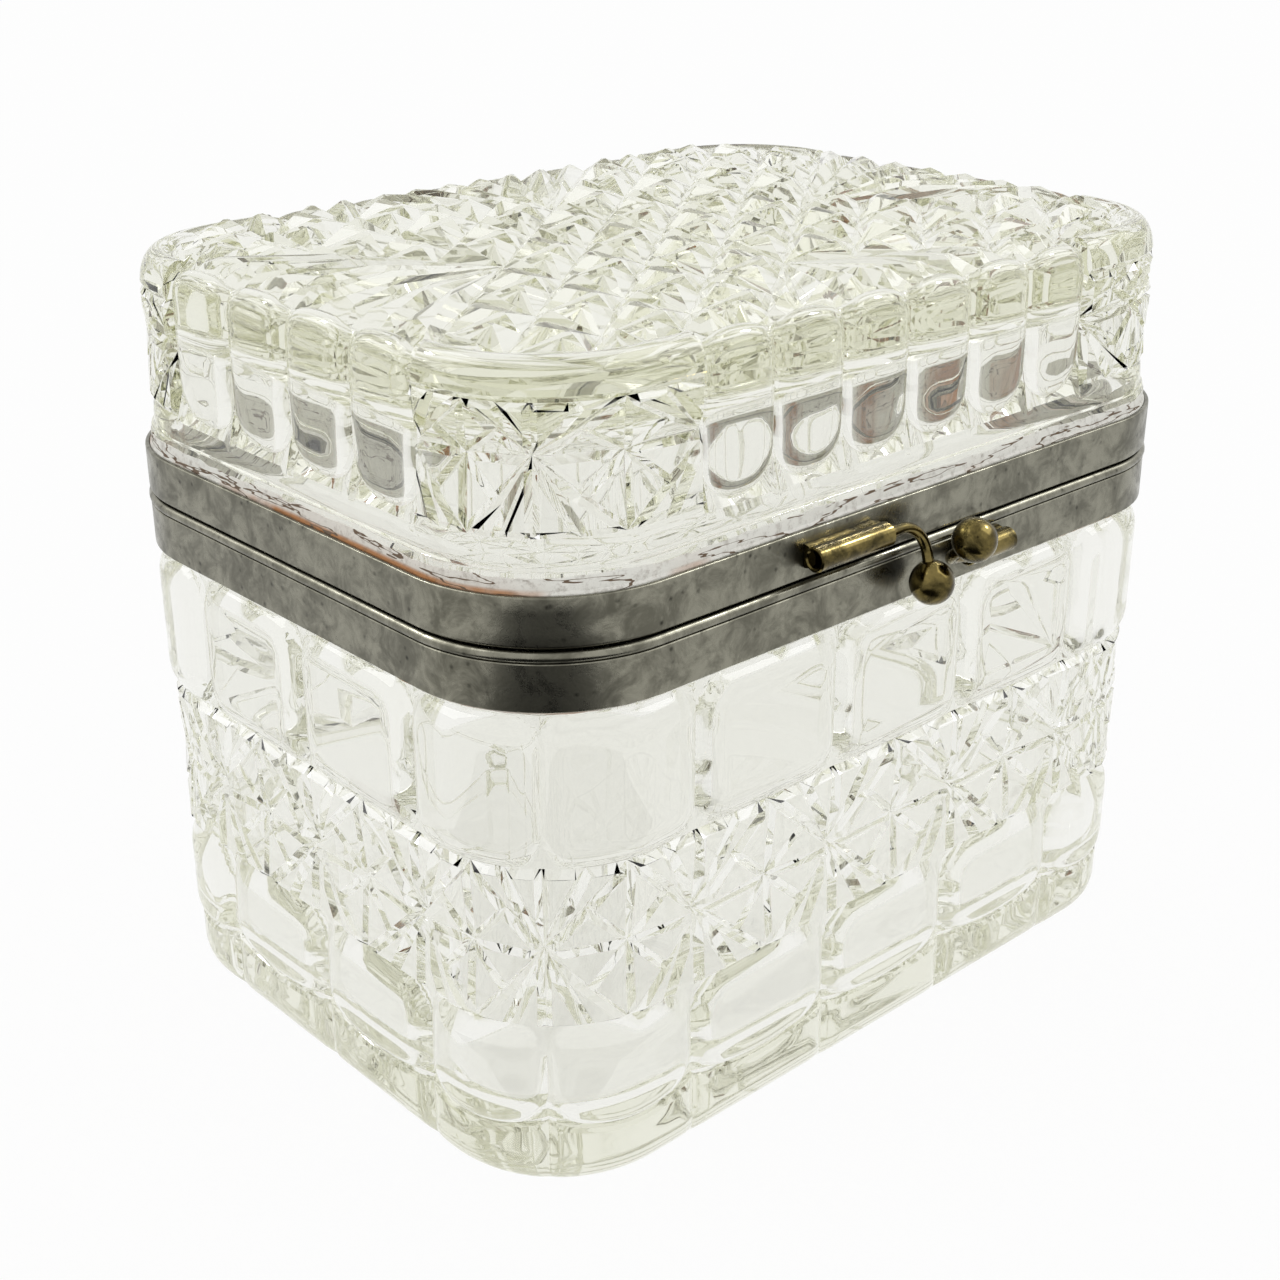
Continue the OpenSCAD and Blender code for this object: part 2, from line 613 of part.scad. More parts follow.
// Pattern of the lid's top: lozenges with a star each, and four fans
valley_z = field_z + 0.5;
star_root_z = field_z + 0.3;
relief_base = field_z - 1.5;

// Highest place of the roof over the triangle of 0, a and b: the centre of its inner circle
function roof_top(a, b) = (norm(b) * a + norm(a) * b) / (norm(a) + norm(b) + norm(a - b));

module star_lozenge(x, y) {
    rim = [[lozenge_x, 0], [lozenge_x / 2, lozenge_y / 2], [0, lozenge_y],
           [-lozenge_x / 2, lozenge_y / 2], [-lozenge_x, 0],
           [-lozenge_x / 2, -lozenge_y / 2], [0, -lozenge_y], [lozenge_x / 2, -lozenge_y / 2]];
    n = len(rim);
    low = [for (p = rim) [p[0], p[1], relief_base]];
    edge = [for (p = rim) [p[0], p[1], valley_z]];
    peaks = [for (i = [0:n - 1])
        let (m = roof_top(rim[i], rim[wrap(i + 1, n)])) [m[0], m[1], lid_top_z]];
    points = concat(low, edge, peaks, [[0, 0, star_root_z], [0, 0, relief_base]]);
    faces = concat(
        first_cap(0, n, 3 * n + 1), strip(0, n, n),
        [for (i = [0:n - 1]) let (j = wrap(i + 1, n), m = 2 * n + i)
            each [[n + i, n + j, m], [n + j, 3 * n, m], [3 * n, n + i, m]]]);
    translate([x, y, 0]) polyhedron(points = points, faces = turned(faces));
}

// Thin slice of a rib: a roof of half width w whose ridge stands at the given height
module rib_slice(w, ridge_z) {
    rotate([90, 0, 90]) linear_extrude(0.02)
        polygon([[-w, relief_base], [w, relief_base], [w, valley_z], [0, ridge_z], [-w, valley_z]]);
}

// Tapered rib of a fan, from its apex out past the edge of the field
module rib(length, half_angle) {
    hull() {
        rib_slice(0.1, valley_z + 0.1);
        translate([length, 0, 0]) rib_slice(length * tan(half_angle), lid_top_z);
    }
}

module ribbed_fan(x, y, toward, spread, length) {
    step = 2 * spread / fan_ribs;
    for (k = [0:fan_ribs - 1]) {
        translate([x, y, 0]) rotate([0, 0, toward - spread + (k + 0.5) * step])
            rib(length, step / 2);
    }
}

fan_side_spread = atan2(lozenge_y, lozenge_x);
cells_x = ceil(half_l / lozenge_x);
cells_y = ceil(half_w / lozenge_y);
function in_fan(i, j) =
    abs(j) < abs(i) - 1 || abs(i) < abs(j) - 1;

module top_pattern() {
    intersection() {
        union() {
            for (i = [-cells_x:cells_x], j = [-cells_y:cells_y]) {
                if (abs(i + j) % 2 == 1 && !in_fan(i, j)) {
                    star_lozenge(i * lozenge_x, j * lozenge_y);
                }
            }
            for (side = [0, 180]) {
                rotate([0, 0, side])
                    ribbed_fan(2 * lozenge_x, 0, 0, fan_side_spread, half_l);
                rotate([0, 0, side])
                    ribbed_fan(0, -2 * lozenge_y, -90, 90 - fan_side_spread, half_w);
            }
        }
        hull() {
            translate([0, 0, relief_base]) linear_extrude(field_z - relief_base + 0.2)
                outline(panel_inset + 0.2);
            translate([0, 0, lid_top_z]) linear_extrude(0.2)
                outline(panel_inset + top_relief);
        }
    }
}

module lid_glass() {
    color(glass_color) union() {
        polyhedron(
            points = concat([for (p = concat(lid_base_pts, lid_top_pts)) place(p)],
                            [[0, 0, ceiling_z], [0, 0, field_z]]),
            faces = turned(lid_faces));
        top_pattern();
    }
}

// ---- Rims and plaster -----------------------------------------------------------------
module body_rim() {
    color(rim_color) union() {
        ring(body_rim_low, body_rim_top - bead_r, 0, rim_t);
        ring(body_rim_top - rim_t, body_rim_top, bead_r, mouth_inset);
        wire_ring(body_rim_top - bead_r, bead_r - bead_proud, bead_r);
    }
}

lid_edge_r = rim_t / 2;

module lid_rim() {
    color(rim_color) union() {
        ring(lid_rim_low + lid_edge_r, lid_rim_top, 0, rim_t);
        ring(lid_rim_low, lid_rim_low + rim_t, lid_edge_r, mouth_inset);
        wire_ring(lid_rim_low + lid_edge_r, lid_edge_r, lid_edge_r);
    }
}

plaster_show = 0.25;

module lip_prism(cols, z0, z1) {
    translate([0, 0, z0]) linear_extrude(z1 - z0)
        polygon([for (c = cols) outline_pt(c[0], lip_inset)]);
}

module mouth_prism(cols, pick, z0, z1) {
    translate([0, 0, z0]) linear_extrude(z1 - z0)
        polygon([for (i = pick) outline_pt(cols[i][0], mouth_inset)]);
}

module body_plaster() {
    z0 = body_rim_low - plaster_show;
    z1 = body_rim_top - rim_t;
    color(plaster_color) difference() {
        translate([0, 0, z0]) linear_extrude(z1 - z0) outline(rim_t);
        lip_prism(body_cols, z0 - 1, body_lip_z);
        mouth_prism(body_cols, body_pick, z0 - 1, z1 + 1);
    }
}

module lid_plaster() {
    z0 = lid_rim_low + rim_t;
    z1 = lid_rim_top + plaster_show;
    color(plaster_color) difference() {
        translate([0, 0, z0]) linear_extrude(z1 - z0) outline(rim_t);
        lip_prism(lid_cols, lid_lip_z, z1 + 1);
        mouth_prism(lid_cols, lid_pick, z0 - 1, z1 + 1);
    }
}

// ---- Hinge ----------------------------------------------------------------------------
knuckles = 5;
barrel_off = 0.5;
relief_gap = 0.3;
bead_clear = 0.05;
leaf_edge = 0.4;
knuckle_l = (hinge_w - (knuckles - 1) * knuckle_gap) / knuckles;
hinge_y = half_w + knuckle_r + barrel_off;
web_t = 1.1;
stop_r = 1.6 * knuckle_r;
stop_t = 0.9;
stop_slack = 2;
leaf_dist = hinge_y - half_w - leaf_t;

function knuckle_x(k) = -hinge_w / 2 + k * (knuckle_l + knuckle_gap);

module along_x(x, length, r) {
    translate([x, hinge_y, seam_z]) rotate([0, 90, 0]) cylinder(h = length, r = r);
}

// Plate soldered to a rim, with knuckles; up is 1 for the lid's leaf and -1 for the body's
module hinge_leaf(up, own, other, bore_r) {
    difference() {
        union() {
            z_near = seam_z + up * leaf_edge;
            z_far = z_near + up * leaf_h;
            translate([-hinge_w / 2, half_w, min(z_near, z_far)])
                cube([hinge_w, leaf_t, leaf_h]);
            for (k = own) {
                along_x(knuckle_x(k), knuckle_l, knuckle_r);
                translate([knuckle_x(k), half_w, seam_z + (up > 0 ? knuckle_r - web_t : -knuckle_r)])
                    cube([knuckle_l, hinge_y - half_w, web_t]);
            }
        }
        for (k = other) {
            along_x(knuckle_x(k) - knuckle_gap, knuckle_l + 2 * knuckle_gap,
                    knuckle_r + relief_gap);
        }
        along_x(-hinge_w, 2 * hinge_w, bore_r);
        // Room for the rolled bead of the body rim
        translate([-hinge_w, half_w + bead_proud - bead_r, body_rim_top - bead_r])
            rotate([0, 90, 0]) cylinder(h = 2 * hinge_w, r = bead_r + bead_clear);
    }
}

module body_hinge_leaf() {
    color(rim_color) hinge_leaf(-1, [0, 2, 4], [1, 3], pin_r);
}

// The lid's knuckles carry a ridge that meets the body's leaf when the lid is fully open
module lid_hinge_leaf() {
    back_angle = open_angle - asin(leaf_dist / stop_r) + stop_slack;
    color(rim_color) difference() {
        union() {
            hinge_leaf(1, [1, 3], [0, 2, 4], pin_r + pin_clear);
            for (k = [1, 3]) {
                translate([knuckle_x(k), hinge_y, seam_z]) rotate([back_angle, 0, 0])
                    translate([0, 0, -stop_r]) cube([knuckle_l, stop_t, stop_r - pin_r - 0.3]);
            }
        }
        along_x(-hinge_w, 2 * hinge_w, pin_r + pin_clear);
    }
}

pin_head = 0.5;

module hinge_pin() {
    color(rim_color) union() {
        along_x(-hinge_w / 2 - pin_head, hinge_w + 2 * pin_head, pin_r);
        for (x = [-hinge_w / 2 - pin_head, hinge_w / 2]) {
            along_x(x, pin_head, pin_r + 0.5);
        }
    }
}

// ---- Clasp ----------------------------------------------------------------------------
ball_r = ball_d / 2;
sleeve_r = sleeve_d / 2;
sleeve_y = -half_w - sleeve_r;
sleeve_open = 1.6;
shank_out = 0.35;
stem_in_ball = 1.5;
lid_ball_x = -1.3;
lid_ball_drop = 4.4;
body_ball_x = 2.7;
body_ball_rise = 1.3;
ball_at_lid = [lid_ball_x, -half_w - lid_ball_out, seam_z - lid_ball_drop];
ball_at_body = [body_ball_x, -half_w - body_ball_out, seam_z + body_ball_rise];
lid_sleeve_z = lid_rim_low + lid_rim_h / 2;
body_sleeve_up = 0.3;
body_sleeve_z = body_rim_low + body_rim_h / 2 + body_sleeve_up;
lid_mouth_x = -8;
body_mouth_x = 8.2;

// Places what follows at the sleeve's axis with local X out of its mouth and local Z
// pointing across to the ball; side is 1 where the mouth faces +X
module at_mouth(side, mouth_x, axis_z, ball) {
    dy = ball[1] - sleeve_y;
    dz = ball[2] - axis_z;
    translate([mouth_x, sleeve_y, axis_z]) mirror([side < 0 ? 1 : 0, 0, 0])
        rotate([atan2(-dy, dz), 0, 0]) children();
}

function ball_run(side, mouth_x, ball) = side * (ball[0] - mouth_x);
function ball_rise(axis_z, ball) = norm([ball[1] - sleeve_y, ball[2] - axis_z]);

module x_rod(x0, x1, r) {
    translate([x0, 0, 0]) rotate([0, 90, 0]) cylinder(h = x1 - x0, r = r);
}

// Shank in the sleeve, a short cone, the bend and the straight end that enters the ball
module stem(shank_l, run, rise) {
    bend_x = run - bend_r;
    x_rod(-shank_l, shank_out, shank_r);
    translate([shank_out, 0, 0]) rotate([0, 90, 0])
        cylinder(h = bend_x - shank_out, r1 = shank_r, r2 = stem_r);
    translate([bend_x, 0, bend_r]) rotate([90, 0, 0]) rotate([0, 0, -90])
        rotate_extrude(angle = 90) translate([bend_r, 0]) circle(stem_r);
    translate([run, 0, bend_r]) cylinder(h = rise - bend_r - stem_in_ball, r = stem_r);
}

module clasp_ball(side, mouth_x, axis_z, ball) {
    at_mouth(side, mouth_x, axis_z, ball) {
        run = ball_run(side, mouth_x, ball);
        rise = ball_rise(axis_z, ball);
        difference() {
            translate([run, 0, rise]) sphere(ball_r);
            translate([run, 0, rise - 2 * ball_r])
                cylinder(h = 2 * ball_r - stem_in_ball, r = stem_r);
        }
    }
}

// Tube soldered along the band; the solder bed under it meets the band face to face
module sleeve(side, mouth_x, axis_z, length) {
    x0 = side > 0 ? mouth_x - length : mouth_x;
    bed_w = 0.8 * sleeve_r;
    difference() {
        translate([x0, 0, 0]) union() {
            translate([0, sleeve_y, axis_z]) rotate([0, 90, 0])
                cylinder(h = length, r = sleeve_r);
            translate([0, sleeve_y, axis_z - bed_w]) cube([length, sleeve_r, 2 * bed_w]);
        }
        translate([x0 - 1, sleeve_y, axis_z]) rotate([0, 90, 0])
            cylinder(h = length + 2, r = shank_r + shank_clear);
    }
}

module lid_clasp_sleeve() {
    color(brass_color) sleeve(1, lid_mouth_x, lid_sleeve_z, lid_sleeve_l);
}

module lid_clasp_stem() {
    color(brass_color) at_mouth(1, lid_mouth_x, lid_sleeve_z, ball_at_lid)
        stem(lid_sleeve_l - sleeve_open, ball_run(1, lid_mouth_x, ball_at_lid),
             ball_rise(lid_sleeve_z, ball_at_lid));
}

module lid_clasp_ball() {
    color(brass_color) clasp_ball(1, lid_mouth_x, lid_sleeve_z, ball_at_lid);
}

module body_clasp_sleeve() {
    color(brass_color) sleeve(-1, body_mouth_x, body_sleeve_z, body_sleeve_l);
}

module body_clasp_stem() {
    color(brass_color) at_mouth(-1, body_mouth_x, body_sleeve_z, ball_at_body)
        stem(body_sleeve_l - sleeve_open, ball_run(-1, body_mouth_x, ball_at_body),
             ball_rise(body_sleeve_z, ball_at_body));
}

module body_clasp_ball() {
    color(brass_color) clasp_ball(-1, body_mouth_x, body_sleeve_z, ball_at_body);
}

// ---- All pieces -----------------------------------------------------------------------
body_glass();
body_plaster();
body_rim();
lid_glass();
lid_plaster();
lid_rim();
body_hinge_leaf();
lid_hinge_leaf();
hinge_pin();
lid_clasp_sleeve();
lid_clasp_stem();
lid_clasp_ball();
body_clasp_sleeve();
body_clasp_stem();
body_clasp_ball();
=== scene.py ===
"""Dresses the hinged pressed-glass casket box and sets its stage.

The pressed glass is drawn as relief on a chart: u runs round the rims' outline (or along X on
the lid's top), v runs up (or along Y) and h stands out of the surface. Sizes are in
millimetres and become metres where a mesh is made.
"""
import math
from collections import namedtuple
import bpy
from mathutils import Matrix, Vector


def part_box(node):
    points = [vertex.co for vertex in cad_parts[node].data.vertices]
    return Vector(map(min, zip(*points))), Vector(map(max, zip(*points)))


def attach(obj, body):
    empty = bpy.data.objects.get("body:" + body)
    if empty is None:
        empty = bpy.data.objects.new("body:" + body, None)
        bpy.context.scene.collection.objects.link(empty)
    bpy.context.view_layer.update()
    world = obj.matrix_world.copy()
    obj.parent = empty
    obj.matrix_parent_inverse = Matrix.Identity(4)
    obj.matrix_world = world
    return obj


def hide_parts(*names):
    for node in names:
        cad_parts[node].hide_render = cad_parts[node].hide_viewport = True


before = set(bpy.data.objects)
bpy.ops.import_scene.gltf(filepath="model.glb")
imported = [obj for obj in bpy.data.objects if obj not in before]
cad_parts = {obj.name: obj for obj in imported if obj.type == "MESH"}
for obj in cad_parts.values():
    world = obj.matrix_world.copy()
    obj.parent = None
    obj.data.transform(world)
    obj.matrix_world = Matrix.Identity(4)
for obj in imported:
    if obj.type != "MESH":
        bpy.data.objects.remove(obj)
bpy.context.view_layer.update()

from types import SimpleNamespace

import bmesh
import bpy
from bpy.props import FloatProperty, FloatVectorProperty, IntProperty, PointerProperty
from mathutils import Matrix, Vector, noise

bl_info = {
    "name": "Pressed-Glass Casket",
    "version": (1, 0, 0),
    "blender": (4, 5, 0),
    "location": "View3D > Sidebar > Casket",
    "description": "Relief glass, worn metal rims and a ball clasp for a hinged casket box",
    "category": "Add Mesh",
}

MM = 0.001
QUARTER_TURN = math.pi / 2


# ---- Frame ------------------------------------------------------------------------------
def node_box(node):
    """Lowest and highest corner of a CAD node, in millimetres."""
    low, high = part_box(node)
    return low / MM, high / MM


LID_RIM_LOW, LID_RIM_HIGH = node_box("lid_rim")
BODY_RIM_LOW, BODY_RIM_HIGH = node_box("body_rim")
BODY_HIGH = node_box("body_glass")[1]
LID_LOW, LID_HIGH = node_box("lid_glass")
HALF_X = LID_RIM_HIGH.x
HALF_Y = LID_RIM_HIGH.y


# ---- Outline of the box -----------------------------------------------------------------
class Outline:
    """Rounded rectangle of the rims' outer face, walked from the middle of the front."""

    def __init__(self, half_x, half_y, radius):
        self.run_x = half_x - radius
        self.run_y = half_y - radius
        self.radius = radius
        self.arc = QUARTER_TURN * radius
        self.length = 0.0
        self.pieces = []
        place = Vector((0.0, -half_y))
        heading = 0.0
        sides = (self.run_x, 2 * self.run_y, 2 * self.run_x, 2 * self.run_y)
        for side in sides:
            place = self._add(place, heading, side, False)
            place = self._add(place, heading, self.arc, True)
            heading += QUARTER_TURN
        self._add(place, heading, self.run_x, False)

    def _add(self, place, heading, length, turns):
        self.pieces.append((self.length, place, heading, turns))
        self.length += length
        ahead = Vector((math.cos(heading), math.sin(heading)))
        left = Vector((-ahead.y, ahead.x))
        return place + ((ahead + left) * self.radius if turns else ahead * length)

    def middle(self, side):
        """Place along the outline of the middle of a side: front, right, back or left."""
        if side == 0:
            return 0.0
        return self.pieces[2 * side][0] + (self.run_y if side % 2 else self.run_x)

    def corner(self, side):
        """Place along the outline of the middle of the corner that ends a side."""
        return self.pieces[2 * side + 1][0] + self.arc / 2

    def at(self, along):
        """Point on the outline and the outward normal there."""
        along %= self.length
        start, place, heading, turns = [p for p in self.pieces if p[0] <= along][-1]
        ahead = Vector((math.cos(heading), math.sin(heading)))
        if not turns:
            return place + ahead * (along - start), Vector((ahead.y, -ahead.x))
        centre = place + Vector((-ahead.y, ahead.x)) * self.radius
        angle = heading + (along - start) / self.radius
        normal = Vector((math.sin(angle), -math.cos(angle)))
        return centre + normal * self.radius, normal

    def along_of(self, x, y):
        """Distance along the outline of the place nearest to a point inside it."""
        if abs(x) <= self.run_x:
            along = x if y < 0 else self.pieces[4][0] + self.run_x - x
        elif abs(y) <= self.run_y:
            along = self.pieces[2][0] + self.run_y + y
            if x < 0:
                along = self.pieces[6][0] + self.run_y - y
        else:
            corner = 1 if x > 0 and y < 0 else 3 if x > 0 else 5 if y > 0 else 7
            off = Vector((abs(x) - self.run_x, abs(y) - self.run_y))
            angle = math.atan2(off.x, off.y) if corner in (1, 5) else math.atan2(off.y, off.x)
            along = self.pieces[corner][0] + self.radius * angle
        return along % self.length


# ---- Relief -----------------------------------------------------------------------------
Station = namedtuple("Station", "along frac width kind")
Row = namedtuple("Row", "inset z lean level")

# Where the columns of a block stand: close together near its edges, with the places that
# the rays of the stars meet, at a quarter, a half and three quarters, among them
EDGE_STEPS = 6
EDGE_CROWD = 1.5
MIDDLE_STEPS = 4


def block_fractions():
    edge = [0.25 * (k / EDGE_STEPS) ** EDGE_CROWD for k in range(EDGE_STEPS)]
    middle = [0.25 + 0.25 * k / MIDDLE_STEPS for k in range(2 * MIDDLE_STEPS)]
    return edge + middle + [1 - f for f in [0.25] + edge[:0:-1]]


FRACTIONS = block_fractions()
QUARTER = EDGE_STEPS
HALF = EDGE_STEPS + MIDDLE_STEPS
THREE_QUARTERS = EDGE_STEPS + 2 * MIDDLE_STEPS

# Widest groove round a facet, as a share of the circle that would fit in it
TRIANGLE_SHARE = 0.9
PANEL_SHARE = 0.66


def clamp(value, low=0.0, high=1.0):
    return max(low, min(high, value))


def blend(a, b, share):
    return a + (b - a) * share


# Slope of a rounded edge at its foot, as the share of a full quarter round
STEEPEST = 0.97
WELD = 0.002
# Fire polish: edges that turn by more than this many degrees are softened, and the skin
# ripples
GLASS_EDGE = 24
EDGE_SOFTENING = 0.1
RIPPLE = 0.05
LONG_RIPPLE = 9.0
SHORT_RIPPLE = 4.0
SHORT_SHARE = 0.3


def quarter_round(t, steepest=STEEPEST):
    """0 on the face, rising ever steeper to 1 at the edge."""
    return (1 - math.sqrt(1 - (steepest * t) ** 2)) / (1 - math.sqrt(1 - steepest ** 2))


def edge_share(across, up, width, height, corner, roll, steepest=STEEPEST):
    """How near the edge of a rounded block a place is: 0 on its face, 1 at its edge."""
    side_x = abs(across) - (width / 2 - corner)
    side_y = abs(up) - (height / 2 - corner)
    outside = math.hypot(max(side_x, 0), max(side_y, 0)) + min(max(side_x, side_y), 0) - corner
    return quarter_round(clamp(1 + outside / roll), steepest)


def mesh_object(name, points, faces, smooth_below, finish=None):
    """An object from points in millimetres, smooth where its faces meet below an angle.

    finish, where one is given, works on the welded mesh."""
    mesh = bpy.data.meshes.new(name)
    mesh.from_pydata([p * MM for p in points], [], faces)
    build = bmesh.new()
    build.from_mesh(mesh)
    bmesh.ops.remove_doubles(build, verts=build.verts, dist=WELD * MM)
    bmesh.ops.dissolve_degenerate(build, dist=WELD * MM, edges=build.edges)
    bmesh.ops.recalc_face_normals(build, faces=build.faces)
    if finish:
        finish(build)
    build.to_mesh(mesh)
    build.free()
    for face in mesh.polygons:
        face.use_smooth = True
    mesh.set_sharp_from_angle(angle=math.radians(smooth_below))
    piece = bpy.data.objects.new(name, mesh)
    bpy.context.scene.collection.objects.link(piece)
    return piece


class Relief:
    """A mesh under construction. Its points are given on the chart and placed in space."""

    def __init__(self, outline):
        self.outline = outline
        self.chart = []
        self.points = []
        self.faces = []

    def wall_point(self, along, z, inset):
        spot, normal = self.outline.at(along)
        spot = spot - normal * inset
        self.chart.append(Vector((along, z, -inset)))
        self.points.append(Vector((spot.x, spot.y, z)))
        return len(self.points) - 1

    def top_point(self, x, y, z):
        self.chart.append(Vector((x, y, z)))
        self.points.append(Vector((x, y, z)))
        return len(self.points) - 1

    def ring(self, stations, place):
        """One closed row of points; place gives the inset and the height at a station."""
        made = []
        for station in stations:
            inset, z = place(station)
            made.append(self.wall_point(station.along, z, inset))
        return made

    def level_ring(self, stations, inset, z):
        return self.ring(stations, lambda station: (inset, z))

    def skin(self, rows, skip=()):
        """Faces between each row and the next."""
        for low, high in zip(rows, rows[1:]):
            self.strip(low, high, skip)

    def strip(self, low, high, skip=()):
        for i in range(len(low)):
            if i not in skip:
                j = (i + 1) % len(low)
                self.faces.append((low[i], low[j], high[j], high[i]))

    def cap(self, loop, z, rings=7):
        """Closes a loop with rings that shrink towards the middle."""
        last = loop
        for k in range(1, rings):
            inner = []
            for i in loop:
                spot = self.points[i] * (1 - k / rings)
                inner.append(self.top_point(spot.x, spot.y, z))
            self.strip(last, inner)
            last = inner
        middle = self.top_point(0, 0, z)
        for i, corner in enumerate(last):
            self.faces.append((corner, last[(i + 1) % len(last)], middle))

    def zip_loops(self, low, high):
        """Joins two closed loops of [(along, point), ...] that have different counts."""
        low = sorted(low)
        high = sorted(high)
        turn = self.outline.length
        low.append((low[0][0] + turn, low[0][1]))
        high.append((high[0][0] + turn, high[0][1]))
        i = j = 0
        while i < len(low) - 1 or j < len(high) - 1:
            next_low = low[i + 1][0] if i < len(low) - 1 else math.inf
            next_high = high[j + 1][0] if j < len(high) - 1 else math.inf
            if next_low <= next_high:
                self.faces.append((low[i][1], low[i + 1][1], high[j][1]))
                i += 1
            else:
                self.faces.append((low[i][1], high[j + 1][1], high[j][1]))
                j += 1

    def facet(self, loop, groove, crest, towards=None, tilt=0.0, make=None):
        """A flat facet raised between grooves that run along its loop.

        It stands at crest and is tilted down towards a star's centre."""
        flat = [self.chart[i].to_2d() for i in loop]
        turn = self.chart[loop[0]].x
        period = self.outline.length
        for p in flat:
            p.x += period * round((turn - p.x) / period)
        area = sum(a.cross(b) for a, b in zip(flat, flat[1:] + flat[:1])) / 2
        if area < 0:
            loop = loop[::-1]
            flat = flat[::-1]
        girth = sum((b - a).length for a, b in zip(flat, flat[1:] + flat[:1]))
        share = TRIANGLE_SHARE if len(loop) == 3 else PANEL_SHARE
        width = min(groove, share * 2 * abs(area) / girth)
        middle = sum(flat, Vector((0, 0))) / len(flat)
        slope = Vector((0, 0))
        if towards is not None:
            aim = self.chart[towards].to_2d()
            aim.x += period * round((turn - aim.x) / period)
            slope = (aim - middle).normalized() * tilt
        make = make or (lambda u, v, h: self.wall_point(u, v, -h))
        inner = []
        for k, corner in enumerate(flat):
            before = (corner - flat[k - 1]).normalized()
            after = (flat[(k + 1) % len(flat)] - corner).normalized()
            n1 = Vector((-before.y, before.x))
            n2 = Vector((-after.y, after.x))
            spot = corner + (n1 + n2) * (width / (1 + n1.dot(n2)))
            inner.append(make(spot.x, spot.y, crest - (spot - middle).dot(slope)))
        for k in range(len(loop)):
            j = (k + 1) % len(loop)
            self.faces.append((loop[k], loop[j], inner[j], inner[k]))
        self.faces.append(tuple(inner))

    def to_object(self, name, smooth_below, finish=None):
        return mesh_object(name, self.points, self.faces, smooth_below, finish)


def fire_polish(build):
    """Softens the edges of pressed glass and gives its skin the slow ripples of cooling."""
    sharp = math.radians(GLASS_EDGE)
    edges = [edge for edge in build.edges
             if len(edge.link_faces) == 2 and edge.calc_face_angle() > sharp]
    bmesh.ops.bevel(build, geom=edges, offset=EDGE_SOFTENING * MM, offset_type="OFFSET",
                    segments=1, profile=0.5, affect="EDGES", clamp_overlap=True)
    bmesh.ops.recalc_face_normals(build, faces=build.faces)
    build.normal_update()
    reach = 1 + SHORT_SHARE
    shifts = []
    for vert in build.verts:
        spot = vert.co / MM
        wave = noise.noise(spot / LONG_RIPPLE)
        wave += SHORT_SHARE * noise.noise(spot / SHORT_RIPPLE + Vector((7, 3, 5)))
        shifts.append(vert.normal * (RIPPLE * (wave - reach) / (2 * reach) * MM))
    for vert, shift in zip(build.verts, shifts):
        vert.co += shift


# ---- Pieces that run round the box ------------------------------------------------------
def sweep_round(name, outline, profile, wobble, step):
    """A closed profile of [(inset, z), ...] swept round the outline.

    wobble gives how far each point moves in and up."""
    relief = Relief(outline)
    count = round(outline.length / step)
    rings = []
    for inset, z in profile:
        ring = []
        for k in range(count):
            along = outline.length * k / count
            di, dz = wobble(along, inset, z)
            ring.append(relief.wall_point(along, z + dz, inset + di))
        rings.append(ring)
    relief.skin(rings + rings[:1])
    return relief.to_object(name, 30)


def arc_points(centre, radius, start, end, steps):
    """Points (inset, z) on an arc; angles in degrees, 180 facing outwards and 90 up."""
    made = []
    for k in range(steps + 1):
        angle = math.radians(blend(start, end, k / steps))
        made.append((centre[0] + radius * math.cos(angle), centre[1] + radius * math.sin(angle)))
    return made


def drift(along, outline, seed, size):
    """Smooth noise that closes on itself round the outline, from -1 to 1."""
    turn = 2 * math.pi * along / outline.length
    reach = outline.length / (2 * math.pi * size)
    return noise.noise(Vector((math.cos(turn) * reach, math.sin(turn) * reach, seed)))


# ---- Materials --------------------------------------------------------------------------
class Graph:
    """Short ways to add nodes to a tree and link them. Most give back the node's result."""

    def __init__(self, tree):
        self.tree = tree

    def add(self, kind, inputs=None, **settings):
        node = self.tree.nodes.new(kind)
        for key, value in settings.items():
            setattr(node, key, value)
        for key, value in (inputs or {}).items():
            if isinstance(value, bpy.types.NodeSocket):
                self.tree.links.new(value, node.inputs[key])
            else:
                node.inputs[key].default_value = value
        return node

    def place(self):
        return self.add("ShaderNodeTexCoord").outputs["Object"]

    def noise(self, place, scale, detail, roughness, distortion=0.0):
        return self.add("ShaderNodeTexNoise", {
            "Vector": place, "Scale": scale, "Detail": detail, "Roughness": roughness,
            "Distortion": distortion}).outputs["Fac"]

    def spread(self, value, low, high, to_low=0.0, to_high=1.0, shape="LINEAR"):
        """Takes low and high to to_low and to_high, and holds the value beyond them."""
        return self.add("ShaderNodeMapRange", {
            "Value": value, "From Min": low, "From Max": high, "To Min": to_low,
            "To Max": to_high}, interpolation_type=shape).outputs["Result"]

    def math(self, operation, *values):
        return self.add("ShaderNodeMath", dict(enumerate(values)),
                        operation=operation).outputs["Value"]

    def mix(self, share, first, second):
        return self.add("ShaderNodeMix", {"Factor": share, 6: first, 7: second},
                        data_type="RGBA").outputs[2]

    def bump(self, height, strength, distance):
        return self.add("ShaderNodeBump", {
            "Height": height, "Strength": strength, "Distance": distance * MM}).outputs["Normal"]

    def seen(self):
        """1 for rays from the camera, off gloss and through glass, and 0 for all others."""
        path = self.add("ShaderNodeLightPath").outputs
        straight = self.math("MAXIMUM", path["Is Camera Ray"], path["Is Glossy Ray"])
        return self.math("MAXIMUM", straight, path["Is Transmission Ray"])

    def end(self, **shaders):
        """Adds the material's output, with a shader for its Surface, its Volume or both."""
        self.add("ShaderNodeOutputMaterial",
                 {name: shader.outputs[0] for name, shader in shaders.items()})


